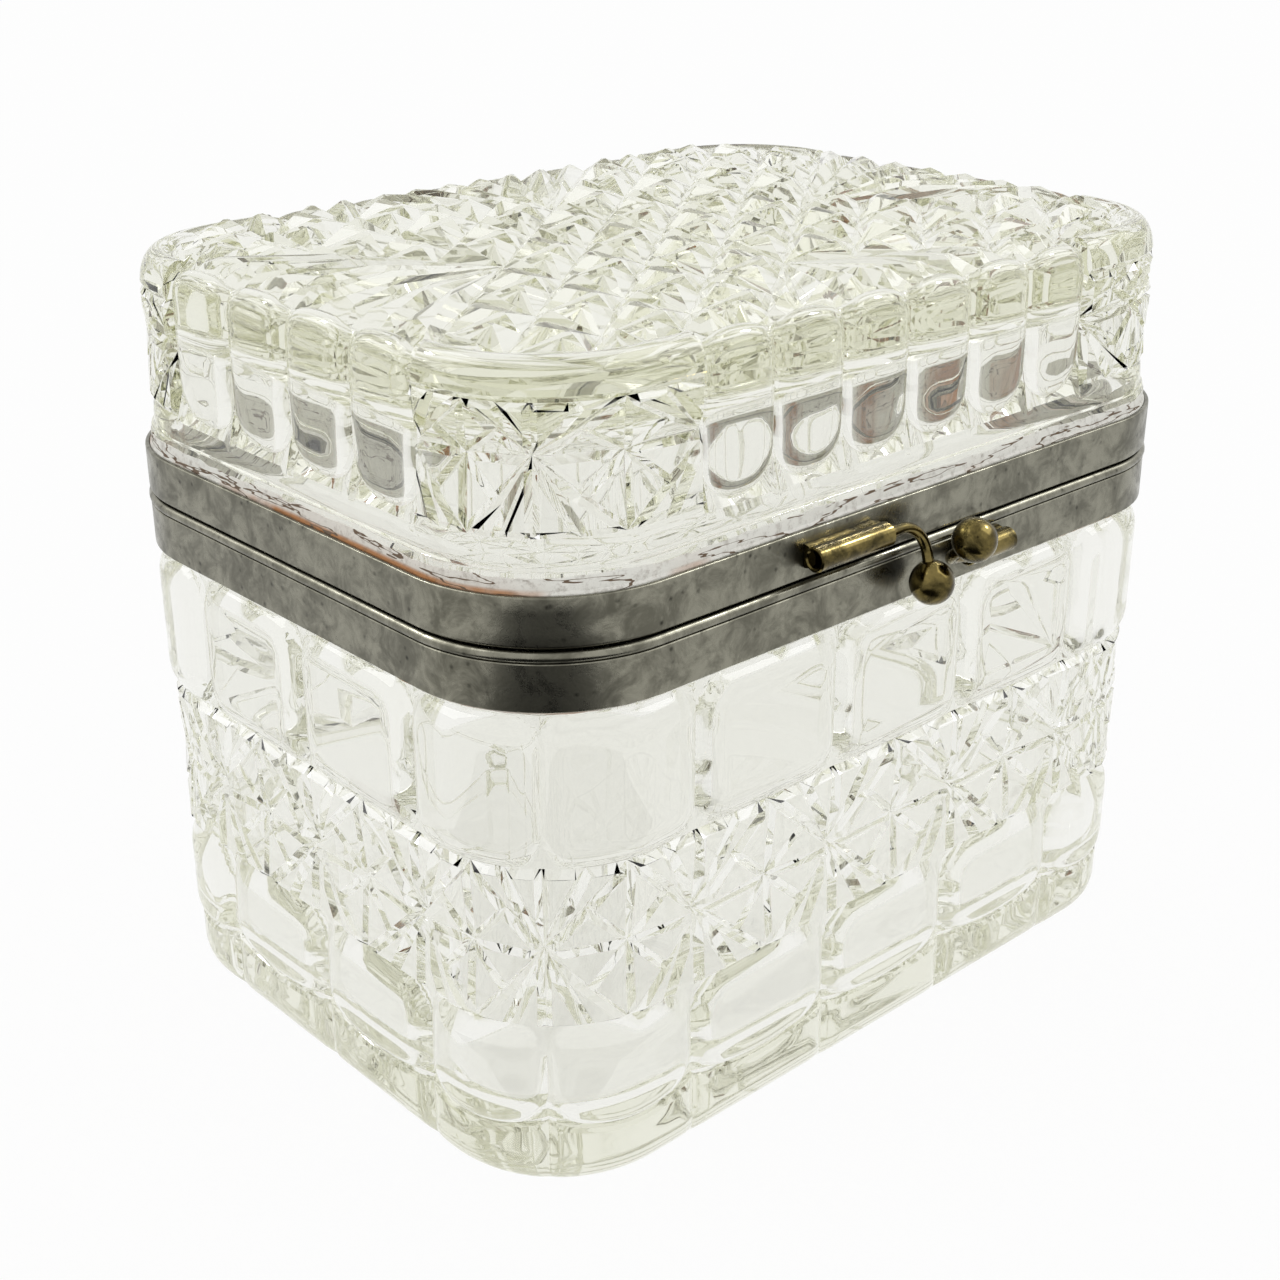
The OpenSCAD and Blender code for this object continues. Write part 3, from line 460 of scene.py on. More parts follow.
def fresh_material(name):
    material = bpy.data.materials.new(name)
    material.use_nodes = True
    material.node_tree.nodes.clear()
    return material, Graph(material.node_tree)


def make_patina_group():
    """Blotches, fine grain and pits of old metal, all from the place on the object."""
    tree = bpy.data.node_groups.new("old_metal_patina", "ShaderNodeTree")
    face = tree.interface
    for label, value in (("Blotch Scale", 90.0), ("Grain Scale", 900.0), ("Pit Scale", 500.0)):
        socket = face.new_socket(label, in_out="INPUT", socket_type="NodeSocketFloat")
        socket.default_value = value
    for label in ("Blotch", "Grain", "Pits", "Height"):
        face.new_socket(label, in_out="OUTPUT", socket_type="NodeSocketFloat")
    graph = Graph(tree)
    given = graph.add("NodeGroupInput").outputs
    place = graph.place()
    blotch = graph.spread(graph.noise(place, given["Blotch Scale"], 8.0, 0.7, 0.5), 0.34, 0.66,
                          shape="SMOOTHSTEP")
    grain = graph.noise(place, given["Grain Scale"], 4.0, 0.7)
    pits = graph.add("ShaderNodeTexVoronoi", {
        "Vector": place, "Scale": given["Pit Scale"], "Randomness": 1.0}).outputs["Distance"]
    pits = graph.math("MULTIPLY", graph.spread(pits, 0.02, 0.24, 1.0, 0.0, "SMOOTHSTEP"), blotch)
    graph.add("NodeGroupOutput", {
        "Blotch": blotch, "Grain": grain, "Pits": pits,
        "Height": graph.math("SUBTRACT", grain, pits)})
    return tree


PIT_SHADE = 0.25


def metal_material(name, light, dark, scales, roughness, bump):
    """Worn metal; scales are those of its blotches, grain and pits, roughness is its least
    and greatest value, and bump is its strength."""
    material, graph = fresh_material(name)
    patina = bpy.data.node_groups.get("old_metal_patina") or make_patina_group()
    labels = ("Blotch Scale", "Grain Scale", "Pit Scale")
    wear = graph.add("ShaderNodeGroup", node_tree=patina)
    for label, value in zip(labels, scales):
        wear.inputs[label].default_value = value
    wear = wear.outputs
    tone = graph.mix(wear["Blotch"], (*light, 1), (*dark, 1))
    shaded = tuple(c * PIT_SHADE for c in dark)
    graph.end(Surface=graph.add("ShaderNodeBsdfPrincipled", {
        "Base Color": graph.mix(wear["Pits"], tone, (*shaded, 1)), "Metallic": 1.0,
        "Roughness": graph.spread(wear["Blotch"], 0.0, 1.0, *roughness),
        "Normal": graph.bump(wear["Height"], bump, 0.03)}))
    return material


GLASS_IOR = 1.52
STRAIGHT_LIGHT = (0.95, 0.95, 0.94, 1)


def glass_material(name, look, density):
    """Clear pressed glass, which lets the light for shadows and matt surfaces straight in."""
    material, graph = fresh_material(name)
    shader = graph.add("ShaderNodeBsdfPrincipled", {
        "Base Color": (*look.surface_tint, 1), "Metallic": 0.0, "Roughness": look.roughness,
        "IOR": GLASS_IOR, "Transmission Weight": 1.0})
    through = graph.add("ShaderNodeBsdfTransparent", {"Color": STRAIGHT_LIGHT})
    path = graph.add("ShaderNodeLightPath").outputs
    straight = graph.math("MAXIMUM", path["Is Shadow Ray"], path["Is Diffuse Ray"])
    mixed = graph.add("ShaderNodeMixShader", {
        0: straight, 1: shader.outputs["BSDF"], 2: through.outputs["BSDF"]})
    absorb = graph.add("ShaderNodeVolumeAbsorption", {
        "Color": (*look.depth_tint, 1), "Density": density})
    graph.end(Surface=mixed, Volume=absorb)
    return material


CRACK_COLOUR = (0.16, 0.11, 0.07, 1)
STAIN_ABOVE_RIM = 0.12


def plaster_material(look):
    """Pale gritty plaster, stained orange-brown near the rims and finely cracked in layers."""
    material, graph = fresh_material("stained_plaster")
    place = graph.place()
    patches = graph.spread(graph.noise(place, 16.0, 5.0, 0.65), 0.46, 0.56)
    level = graph.add("ShaderNodeSeparateXYZ", {"Vector": place}).outputs["Z"]
    edge_z = LID_RIM_HIGH.z
    near_rim = graph.spread(level, (edge_z + 0.2) * MM, (edge_z + 0.7) * MM, 1.0,
                            STAIN_ABOVE_RIM, "SMOOTHSTEP")
    tone = graph.mix(graph.math("MULTIPLY", patches, near_rim), (*look.plaster_pale, 1),
                     (*look.plaster_stain, 1))
    grit = graph.noise(place, 900.0, 5.0, 0.75)
    specks = graph.spread(grit, 0.5, 0.75, 0.0, 0.6)
    layers = graph.add("ShaderNodeMapping", {"Vector": place, "Scale": (60.0, 60.0, 520.0)})
    drying = graph.noise(layers.outputs["Vector"], 1.0, 3.0, 0.55)
    cracks = graph.math("COMPARE", drying, 0.5, 0.012)
    graph.end(Surface=graph.add("ShaderNodeBsdfPrincipled", {
        "Base Color": graph.mix(graph.math("MAXIMUM", specks, cracks), tone, CRACK_COLOUR),
        "Roughness": 0.9, "Normal": graph.bump(grit, 0.8, 0.2)}))
    return material


def kept_material(name, make, *values):
    """The material of that name, made the first time that it is asked for."""
    return bpy.data.materials.get(name) or make(*values)


def rim_material(look):
    return kept_material("worn_nickel", metal_material, "worn_nickel", look.nickel_light,
                         look.nickel_dark, (240.0, 1600.0, 520.0), (0.22, 0.38), 0.4)


def brass_material(look):
    return kept_material("old_brass", metal_material, "old_brass", look.brass_light,
                         look.brass_dark, (260.0, 1500.0, 900.0), (0.12, 0.3), 0.18)


def dress(piece, material):
    piece.data.materials.clear()
    piece.data.materials.append(material)


def settle(piece, material, body, slot, *nodes):
    """Gives a finished piece its material and body, and hides the CAD nodes it stands for. slot is
    not used.
    """
    dress(piece, material)
    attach(piece, body)
    if nodes:
        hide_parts(*nodes)


# ---- Settings ---------------------------------------------------------------------------
def length_setting(name, description, size, least, most):
    """A length that is given here in millimetres and kept in metres."""
    return FloatProperty(name=name, description=description, default=size * MM,
                         min=least * MM, max=most * MM, subtype="DISTANCE", unit="LENGTH",
                         precision=5)


def count_setting(name, description, number, least, most):
    return IntProperty(name=name, description=description, default=number, min=least, max=most)


def colour_setting(name, description, value):
    return FloatVectorProperty(name=name, description=description, default=value, min=0, max=1,
                               subtype="COLOR")


def angle_setting(name, description, degrees):
    return FloatProperty(name=name, description=description, default=math.radians(degrees),
                         subtype="ANGLE", unit="ROTATION")


class CasketShape(bpy.types.PropertyGroup):
    corner_radius: length_setting(
        "Corner Radius", "Radius of the rims' upright corners", 20.5, 15, 25)
    glass_inset: length_setting(
        "Glass Inset", "How far the glass lips stand inside the rims", 1.13, 1.1, 2)
    wall: length_setting("Wall", "Thickness of the glass at its lips", 4.67, 3, 6)
    floor: length_setting("Floor", "Thickness of the glass floor", 9.0, 5, 14)
    ceiling: length_setting("Ceiling", "Thickness of the lid's glass top", 10.3, 8, 14)
    groove: length_setting(
        "Block Groove", "Depth of the grooves between the blocks", 1.7, 0.5, 2.4)
    block_round: length_setting(
        "Block Round", "Width of the rounding round each block", 3.6, 1, 5)
    flute_groove: length_setting(
        "Flute Groove", "Depth of the grooves between the flutes", 1.5, 0.5, 2)
    front_blocks: count_setting("Front Blocks", "Plain blocks on the front and the back", 3, 1, 7)
    side_blocks: count_setting("Side Blocks", "Plain blocks on each side", 2, 1, 5)
    front_flutes: count_setting("Front Flutes", "Flutes on the lid's front and back", 6, 2, 10)
    side_flutes: count_setting("Side Flutes", "Flutes on each side of the lid", 4, 2, 8)
    fan_ribs: count_setting("Fan Ribs", "Ribs in each fan on the lid's top", 7, 3, 9)


class CasketLook(bpy.types.PropertyGroup):
    surface_tint: colour_setting(
        "Glass Surface", "Colour that the glass surface lets through", (0.91, 0.91, 0.88))
    depth_tint: colour_setting("Glass Depth", "Colour that thick glass takes", (0.76, 0.765, 0.56))
    # Lid and body are one glass: the body's lower density is painted light that makes it paler,
    # and the lid's higher density is painted shade that darkens it
    body_density_with_painted_light: FloatProperty(
        name="Body Density", description="How fast the body's glass takes its colour, per metre",
        default=4.5, min=0, max=60)
    lid_density_with_painted_shade: FloatProperty(
        name="Lid Density", description="How fast the lid's glass takes its colour, per metre",
        default=10.5, min=0, max=60)
    roughness: FloatProperty(
        name="Glass Roughness", description="Roughness of the pressed surface",
        subtype="FACTOR", default=0.01, min=0, max=0.3)
    nickel_light: colour_setting("Nickel", "Colour of the clean nickel", (0.27, 0.262, 0.21))
    nickel_dark: colour_setting(
        "Nickel Stain", "Colour of the stained nickel", (0.13, 0.126, 0.098))
    brass_light: colour_setting("Brass", "Colour of the rubbed brass", (0.20, 0.155, 0.055))
    brass_dark: colour_setting("Brass Patina", "Colour of the dark brass", (0.036, 0.029, 0.011))
    plaster_pale: colour_setting("Plaster", "Colour of the clean plaster", (0.86, 0.85, 0.79))
    plaster_stain: colour_setting(
        "Plaster Stain", "Colour of the stained plaster", (0.45, 0.20, 0.07))


class CasketStage(bpy.types.PropertyGroup):
    lens: FloatProperty(
        name="Lens", description="Focal length of the camera on a sensor 36 mm wide",
        default=54.50, unit="CAMERA")
    azimuth: angle_setting("Azimuth", "Camera's angle round the box", -42.151)
    elevation: angle_setting("Elevation", "Camera's downward tilt", 23.798)
    roll: angle_setting("Roll", "Camera's roll", -0.214)
    place: FloatVectorProperty(
        name="Camera Place", description="Where the camera stands",
        default=(-0.18395, -0.19837, 0.1664), subtype="TRANSLATION", unit="LENGTH")
    sky: FloatProperty(
        name="Sky", description="Strength of the even light from all round", default=0.85, min=0)
    key: FloatProperty(
        name="Key", description="Power of each softbox", default=1.4, min=0, unit="POWER")
    spot: FloatProperty(
        name="Spot", description="Power of each small lamp that makes the highlights",
        default=0.7, min=0, unit="POWER")


def measures(shape):
    """The shape's values under their own names, with its lengths in millimetres.

    A vector holds each length in single precision, as the meshes do."""
    values = {name: getattr(shape, name) for name in CasketShape.__annotations__}
    for name, value in values.items():
        if isinstance(value, float):
            values[name] = Vector((round(value / MM, 4), 0)).x
    return SimpleNamespace(**values)


def box_outline(shape):
    return Outline(HALF_X, HALF_Y, shape.corner_radius)


# ---- Stars ------------------------------------------------------------------------------
# Widths of the grooves of a panel's large and small stars, the tilt of its large facets, and
# whether its lower facets are walked the other way round, which only moves their splits
StarCuts = namedtuple("StarCuts", "large small tilt turned")
SMALL_STAR_DROP = 0.05
SMALL_STAR_TILT = 0.10
BIG_STAR_DEPTH = 1.8
SMALL_STAR_DEPTH = 1.15
RAY_MID_DEPTH = 1.0


def star_panel(relief, top, bottom, left, right, small, sides, crest, cuts):
    """Facets between two large stars, with a small star between them.

    top and bottom run across the panel. left and right each hold the points up and those
    down the panel's upright edge, both from the large star's centre on. small is the small
    star's centre, and sides are the points half way along the lozenge's edges: upper left,
    upper right, lower right and lower left."""
    (left_up, left_down), (right_up, right_down) = left, right
    star_l = left_up[0]
    star_r = right_up[0]
    q, h, t = QUARTER, HALF, THREE_QUARTERS
    upper = (
        (left_up[:0:-1] + [star_l] + top[:q + 1][::-1], star_l),
        ([star_l, sides[0]] + top[q:h + 1][::-1], star_l),
        ([star_r] + top[h:t + 1][::-1] + [sides[1]], star_r),
        ([star_r] + right_up[1:] + top[t:][::-1], star_r))
    lower = (
        (left_down[:0:-1] + [star_l] + bottom[:q + 1][::-1], star_l),
        ([star_l, sides[3]] + bottom[q:h + 1][::-1], star_l),
        ([star_r] + bottom[h:t + 1][::-1] + [sides[2]], star_r),
        ([star_r] + right_down[1:] + bottom[t:][::-1], star_r))
    if cuts.turned:
        lower = [(loop[:1] + loop[:0:-1], towards) for loop, towards in lower]
    for loop, towards in (*upper, *lower):
        relief.facet(loop, cuts.large, crest, towards, cuts.tilt)
    rays = [star_r, sides[1], top[h], sides[0], star_l, sides[3], bottom[h], sides[2]]
    for a, b in zip(rays, rays[1:] + rays[:1]):
        relief.facet([small, a, b], cuts.small, crest - SMALL_STAR_DROP, small,
                     SMALL_STAR_TILT)


def lozenge_sides(relief, left, right, low, middle, high, inset):
    quarter = (right - left) / 4
    upper = (middle + high) / 2
    lower = (middle + low) / 2
    spots = ((left + quarter, upper), (right - quarter, upper),
             (right - quarter, lower), (left + quarter, lower))
    return [relief.wall_point(along, z, inset) for along, z in spots]


# ---- Body glass -------------------------------------------------------------------------
CORNER_RUN_X = 7.0
CORNER_RUN_Y = 4.0
STAR_BAND_LOW = 24.95
STAR_BAND_HIGH = 47.65
LEDGE_Z = BODY_RIM_LOW.z - 1.2
STAR_INSET = 0.8
BODY_CUTS = StarCuts(0.95, 0.65, 0.05, True)
FOOT_EDGE = 5.2
FOOT_INSET = 1.0
FOOT_ROUND = 4.2
FOOT_STEPS = 6
FOOT_GROOVE = 0.9
FOOT_NOTCH_REACH = 2.6
FOOT_LIP_DEPTH = 0.75
FOOT_LIP_REACH = 1.2
FOOT_LINE_Z = 11.0
FOOT_LINE_SAG = 1.7
LOWER_INSET = 0.4
LOWER_ROLLS = (0.6, 1.5)
LOWER_ROWS = 18
UPPER_ROWS = 22
BLOCK_CORNER = 4.6
BLOCK_STEEPEST = 0.85
BLOCK_CROWN = 0.25
FLOOR_ROUND = 4.0
BODY_INSIDE_ROWS = 18
CAVITY_DRAFT = 0.6


def evenly(low, high, count):
    return [blend(low, high, k / count) for k in range(count + 1)]


def body_marks(shape, outline):
    """Places along the outline where two blocks meet."""
    reach_x = outline.run_x - CORNER_RUN_X
    reach_y = outline.run_y - CORNER_RUN_Y
    marks = []
    for side in range(4):
        reach, count = ((reach_x, shape.front_blocks), (reach_y, shape.side_blocks))[side % 2]
        marks += [outline.middle(side) + m for m in evenly(-reach, reach, count)]
        marks.append(outline.corner(side))
    return marks


def stations_between(marks, outline):
    made = []
    for low, high in zip(marks, marks[1:] + [marks[0] + outline.length]):
        for frac in FRACTIONS:
            made.append(Station(blend(low, high, frac), frac, high - low, "block"))
    return made


def eased(count):
    """Shares from 0 to 1 that lie closer together near both ends."""
    return [0.5 - 0.5 * math.cos(math.pi * k / count) for k in range(count + 1)]


def foot_rows(relief, stations):
    """Underside and foot band, whose grooves carry on down from the blocks."""
    rows = []
    for k in range(FOOT_STEPS + 1):
        turn = QUARTER_TURN * k / FOOT_STEPS
        inset = blend(FOOT_EDGE, FOOT_INSET, math.sin(turn) ** 1.2)
        z = FOOT_ROUND * (1 - math.cos(turn))
        depth = FOOT_GROOVE * (k / FOOT_STEPS) ** 2
        rows.append(relief.ring(stations, lambda s: (inset + depth * foot_notch(s), z)))
    for level in eased(8)[1:]:
        def place(station):
            top = foot_line(station)
            lip = quarter_round(clamp(1 - (1 - level) * (top - FOOT_ROUND) / FOOT_LIP_REACH))
            cut = max(FOOT_GROOVE * foot_notch(station), FOOT_LIP_DEPTH * lip)
            return FOOT_INSET + cut, blend(FOOT_ROUND, top, level)
        rows.append(relief.ring(stations, place))
    return rows


def foot_notch(station):
    """1 at the upright edges of a block, 0 a little way in from them."""
    away = min(station.frac, 1 - station.frac) * station.width
    return max(0, 1 - away / FOOT_NOTCH_REACH) ** 2


def foot_line(station):
    """Height of the line between foot and lower blocks, which sags in each block."""
    return FOOT_LINE_Z - FOOT_LINE_SAG * (1 - (2 * station.frac - 1) ** 2)


def block_rows(relief, stations, shape, levels, low_of, high, inset, rolls):
    """Rows over a band of blocks; rolls are the widths of the rounding at foot and top."""
    rows = []
    for level in levels:
        def place(station):
            low = low_of(station)
            height = high - low
            across = (station.frac - 0.5) * station.width
            share = edge_share(across, (level - 0.5) * height, station.width, height,
                               BLOCK_CORNER, blend(*rolls, level), BLOCK_STEEPEST)
            crown = BLOCK_CROWN * (2 * station.frac - 1) ** 2
            return inset + (shape.groove * share + crown), blend(low, high, level)
        rows.append(relief.ring(stations, place))
    return rows


def lip_and_hollow_rows(relief, stations, shape):
    """Lip, mouth, inside wall and the rounding down to the floor."""
    lip = shape.glass_inset
    mouth = lip + shape.wall
    deep = mouth + CAVITY_DRAFT
    rim_z = BODY_HIGH.z
    floor_z = shape.floor + FLOOR_ROUND
    places = [(lip + 0.5, LEDGE_Z + 0.35), (lip, LEDGE_Z + 0.6), (lip, rim_z - 0.3),
              (lip + 0.3, rim_z), (mouth - 0.4, rim_z), (mouth, rim_z - 0.5)]
    for k in range(1, BODY_INSIDE_ROWS + 1):
        share = k / BODY_INSIDE_ROWS
        places.append((blend(mouth, deep, share), blend(rim_z - 0.5, floor_z, share)))
    for k in range(1, 7):
        turn = QUARTER_TURN * k / 6
        places.append((deep + FLOOR_ROUND * (1 - math.cos(turn)),
                       shape.floor + FLOOR_ROUND * (1 - math.sin(turn))))
    return [relief.level_ring(stations, inset, z) for inset, z in places]


def star_band(relief, marks, stations, top_row, bottom_row):
    """The band of stars between the two rows of blocks."""
    per_block = len(FRACTIONS)
    middle_z = (STAR_BAND_LOW + STAR_BAND_HIGH) / 2
    centres = [relief.wall_point(m, middle_z, STAR_INSET + BIG_STAR_DEPTH) for m in marks]
    for k, mark in enumerate(marks):
        end = marks[k + 1] if k + 1 < len(marks) else marks[0] + relief.outline.length
        pick = [(k * per_block + i) % len(stations) for i in range(per_block + 1)]
        small = relief.wall_point((mark + end) / 2, middle_z, STAR_INSET + SMALL_STAR_DEPTH)
        lozenge = lozenge_sides(relief, mark, end, STAR_BAND_LOW, middle_z, STAR_BAND_HIGH,
                                STAR_INSET + RAY_MID_DEPTH)
        edges = [([c], [c]) for c in (centres[k], centres[(k + 1) % len(marks)])]
        star_panel(relief, [top_row[i] for i in pick], [bottom_row[i] for i in pick], *edges,
                   small, lozenge, -STAR_INSET, BODY_CUTS)


def build_body_glass(shape):
    outline = box_outline(shape)
    marks = body_marks(shape, outline)
    stations = stations_between(marks, outline)
    relief = Relief(outline)
    roll = shape.block_round
    low_rows = foot_rows(relief, stations)
    low_rows += block_rows(relief, stations, shape, eased(LOWER_ROWS)[1:], foot_line,
                           STAR_BAND_LOW, LOWER_INSET, [roll * r for r in LOWER_ROLLS])
    relief.skin(low_rows)
    relief.cap(low_rows[0], 0.0)
    high_rows = block_rows(relief, stations, shape, eased(UPPER_ROWS),
                           lambda s: STAR_BAND_HIGH, LEDGE_Z, 0.0, (roll, roll))
    high_rows += lip_and_hollow_rows(relief, stations, shape)
    relief.skin(high_rows)
    relief.cap(high_rows[-1][::-1], shape.floor)
    star_band(relief, marks, stations, high_rows[0], low_rows[-1])
    return relief.to_object("body_glass_relief", GLASS_EDGE, fire_polish)


# ---- Lid glass --------------------------------------------------------------------------
LID_CUTS = StarCuts(0.9, 0.6, 0.04, False)
FLUTE_STEPS = 14
FRONT_FLUTE = 12.0
SIDE_FLUTE = 13.3
PLINTH_Z = LID_RIM_HIGH.z + 2.7
FLUTE_FOOT_Z = PLINTH_Z + 3.6
SIDE_INSET = 1.6
CREST_DROP = 1.0
WALL_ROWS = 16
ROLL_ROWS = 12
ROLL_HEIGHT = 4.8
ROLL_REACH = 2.8
ROLL_TURN = 1.2
FLUTE_CORNER = 5.2
FLUTE_ROLL = 3.4
FLUTE_SQUARENESS = 0.7
STAR_SHARE = 0.6
STAR_RIM_DEPTH = 0.5
CEILING_ROUND = 3.0
FIELD_DROP = 2.7
FIELD_INSET = 5.9
FIELD_SLOPE = 0.55
FIELD_DEPTH = 1.9
CENTRE_SINK = 0.3
RAY_SINK = 0.5
CORNER_CUTS = 9
LOZENGE_X = 14.0
LOZENGE_Y = 11.75
FAN_REACH = 4
RIDGE_START = 0.32
RIDGE_DROP = 0.1
# A star's eight ray ends on the lid's top, in halves of a lozenge
RAY_ENDS = ((2, 0), (1, 1), (0, 2), (-1, 1), (-2, 0), (-1, -1), (0, -2), (1, -1))


def lid_panels(shape, outline):
    """Panels round the lid as (start, end, kind), kind being flute or star."""
    front = FRONT_FLUTE * shape.front_flutes / 2
    side = SIDE_FLUTE * shape.side_flutes / 2
    panels = []
    for turn in range(4):
        width, number, reach = ((FRONT_FLUTE, shape.front_flutes, front),
                                (SIDE_FLUTE, shape.side_flutes, side))[turn % 2]
        middle = outline.middle(turn)
        corner = outline.corner(turn)
        after = outline.length if turn == 3 else outline.middle(turn + 1)
        for k in range(number):
            start = middle - reach + k * width
            panels.append((start, start + width, "flute"))
        panels.append((middle + reach, corner, "star"))
        panels.append((corner, after - (front if turn % 2 else side), "star"))
    return panels


def lid_stations(panels):
    """Stations round the lid, and the number of each panel's first one.

    A flute's first station after a star is an edge, which takes both their forms."""
    stations = []
    firsts = []
    before = panels[-1][2]
    for start, end, kind in panels:
        firsts.append(len(stations))
        for frac in (FRACTIONS if kind == "star" else eased(FLUTE_STEPS)[:-1]):
            edge = kind == "flute" and before == "star" and frac == 0
            stations.append(Station(blend(start, end, frac), frac, end - start,
                                    "edge" if edge else kind))
        before = kind
    return stations, firsts


class LidWall:
    """The fluted wall: upright rows, then rows that roll over to the top field's groove."""

    def __init__(self, groove, top_z):
        self.groove = groove
        self.shoulder_z = top_z - CREST_DROP - ROLL_HEIGHT
        self.star_z = blend(FLUTE_FOOT_Z, self.shoulder_z, STAR_SHARE)
        self.upright = []
        for level in eased(WALL_ROWS):
            z = blend(FLUTE_FOOT_Z, self.shoulder_z, level)
            self.upright.append(Row(SIDE_INSET, z, 0.0, z - FLUTE_FOOT_Z))
        self.rolled = []
        last = self.upright[-1]
        for k in range(1, ROLL_ROWS + 1):
            turn = QUARTER_TURN * ROLL_TURN * k / ROLL_ROWS
            inset = SIDE_INSET + ROLL_REACH * (1 - math.cos(turn))
            z = self.shoulder_z + ROLL_HEIGHT * math.sin(turn)
            lean = math.atan2(ROLL_REACH * math.sin(turn), ROLL_HEIGHT * math.cos(turn))
            last = Row(inset, z, lean, last.level + math.hypot(inset - last.inset, z - last.z))
            self.rolled.append(last)

    def flute_cut(self, station, row):
        if station.kind == "star":
            return 0.0
        across = (station.frac - 0.5) * station.width
        long = self.rolled[-1].level
        share = edge_share(across, row.level - long / 2, station.width, long, FLUTE_CORNER,
                           FLUTE_ROLL)
        bow = (2 * across / station.width) ** 2
        return self.groove * blend(bow, share, FLUTE_SQUARENESS)

    def wall_cut(self, station, row):
        """Depth of a flute, or of the rim of a star panel, deepest at the star's centre."""
        if station.kind == "flute":
            return self.flute_cut(station, row)
        if station.frac == 0:
            foot = clamp(row.level / (self.star_z - FLUTE_FOOT_Z))
            head = clamp((self.shoulder_z - row.z) / (self.shoulder_z - self.star_z))
            ray = blend(STAR_RIM_DEPTH, BIG_STAR_DEPTH, min(foot, head))
            return max(ray, self.flute_cut(station, row))
        on_rim = row.z in (self.upright[0].z, self.upright[-1].z)
        return STAR_RIM_DEPTH if on_rim else 0.0

    def lift(self, station, row):
        """Raises the lowest rows of a flute to the curve of its round foot."""
        if station.kind != "flute" or row.lean:
            return 0.0
        side = max(0.0, abs(station.frac - 0.5) * station.width
                   - (station.width / 2 - FLUTE_CORNER))
        curve = FLUTE_CORNER - math.sqrt(FLUTE_CORNER ** 2 - side ** 2)
        return curve * (1 - row.level / self.upright[-1].level)

    def ring(self, relief, stations, row, cut_of):
        def place(station):
            up = self.lift(station, row)
            cut = cut_of(station, row._replace(level=row.level + up))
            return (row.inset + cut * math.cos(row.lean),
                    row.z + up - cut * math.sin(row.lean))
        return relief.ring(stations, place)


def lid_skirt(shape, ceiling):
    """Profile [(inset, z), ...] from the ceiling down the hollow, round the lip and up the
    plinth."""
    lip = shape.glass_inset
    mouth = lip + shape.wall
    deep = mouth + CAVITY_DRAFT
    profile = []
    for k in range(7):
        turn = QUARTER_TURN * k / 6
        profile.append((deep + CEILING_ROUND * (1 - math.sin(turn)),
                        ceiling - CEILING_ROUND * (1 - math.cos(turn))))
    for k in range(1, 8):
        profile.append((blend(deep, mouth, k / 7),
                        blend(ceiling - CEILING_ROUND, LID_LOW.z + 0.5, k / 7)))
    return profile + [
        (mouth - 0.4, LID_LOW.z), (lip + 0.3, LID_LOW.z), (lip, LID_LOW.z + 0.3),
        (lip, PLINTH_Z - 0.25), (lip + 0.08, PLINTH_Z), (lip + 0.35, PLINTH_Z + 0.25),
        (lip + 0.45, PLINTH_Z + 0.9), (lip + 0.5, PLINTH_Z + 1.8),
        (lip + 0.6, FLUTE_FOOT_Z - 0.7)]


def corner_stars(relief, wall, panels, firsts, sides):
    """The two panels of stars at each corner of the lid."""
    star_row = min(range(len(sides)), key=lambda k: abs(wall.upright[k].z - wall.star_z))
    z = wall.upright[star_row].z
    for first, (start, end, kind) in zip(firsts, panels):
        if kind != "star":
            continue
        pick = [(first + i) % len(sides[0]) for i in range(len(FRACTIONS) + 1)]
        small = relief.wall_point((start + end) / 2, z, SIDE_INSET + SMALL_STAR_DEPTH)
        lozenge = lozenge_sides(relief, start, end, FLUTE_FOOT_Z, z, wall.shoulder_z,
                                SIDE_INSET + RAY_MID_DEPTH)
        edges = [([ring[i] for ring in sides[star_row:-1]],
                  [ring[i] for ring in sides[star_row:0:-1]]) for i in (pick[0], pick[-1])]
        star_panel(relief, [sides[-1][i] for i in pick], [sides[0][i] for i in pick], *edges,
                   small, lozenge, -SIDE_INSET, LID_CUTS)


def build_lid_glass(shape):
    outline = box_outline(shape)
    panels = lid_panels(shape, outline)
    stations, firsts = lid_stations(panels)
    relief = Relief(outline)
    top_z = LID_HIGH.z
    ceiling = top_z - shape.ceiling
    wall = LidWall(shape.flute_groove, top_z)
    skirt = [relief.level_ring(stations, inset, z) for inset, z in lid_skirt(shape, ceiling)]
    sides = [wall.ring(relief, stations, row, wall.wall_cut) for row in wall.upright]
    relief.skin(skirt + sides[:1])
    relief.skin(sides, {i for i, s in enumerate(stations) if s.kind == "star"})
    over = [wall.ring(relief, stations, row, wall.flute_cut) for row in wall.rolled]
    relief.skin(sides[-1:] + over)
    relief.cap(skirt[0], ceiling)
    corner_stars(relief, wall, panels, firsts, sides)
    field = top_field(relief, shape, outline, top_z)
    lip_ring = [(s.along % outline.length, point) for s, point in zip(stations, over[-1])]
    relief.zip_loops(lip_ring, field)
    return relief.to_object("lid_glass_relief", GLASS_EDGE, fire_polish)


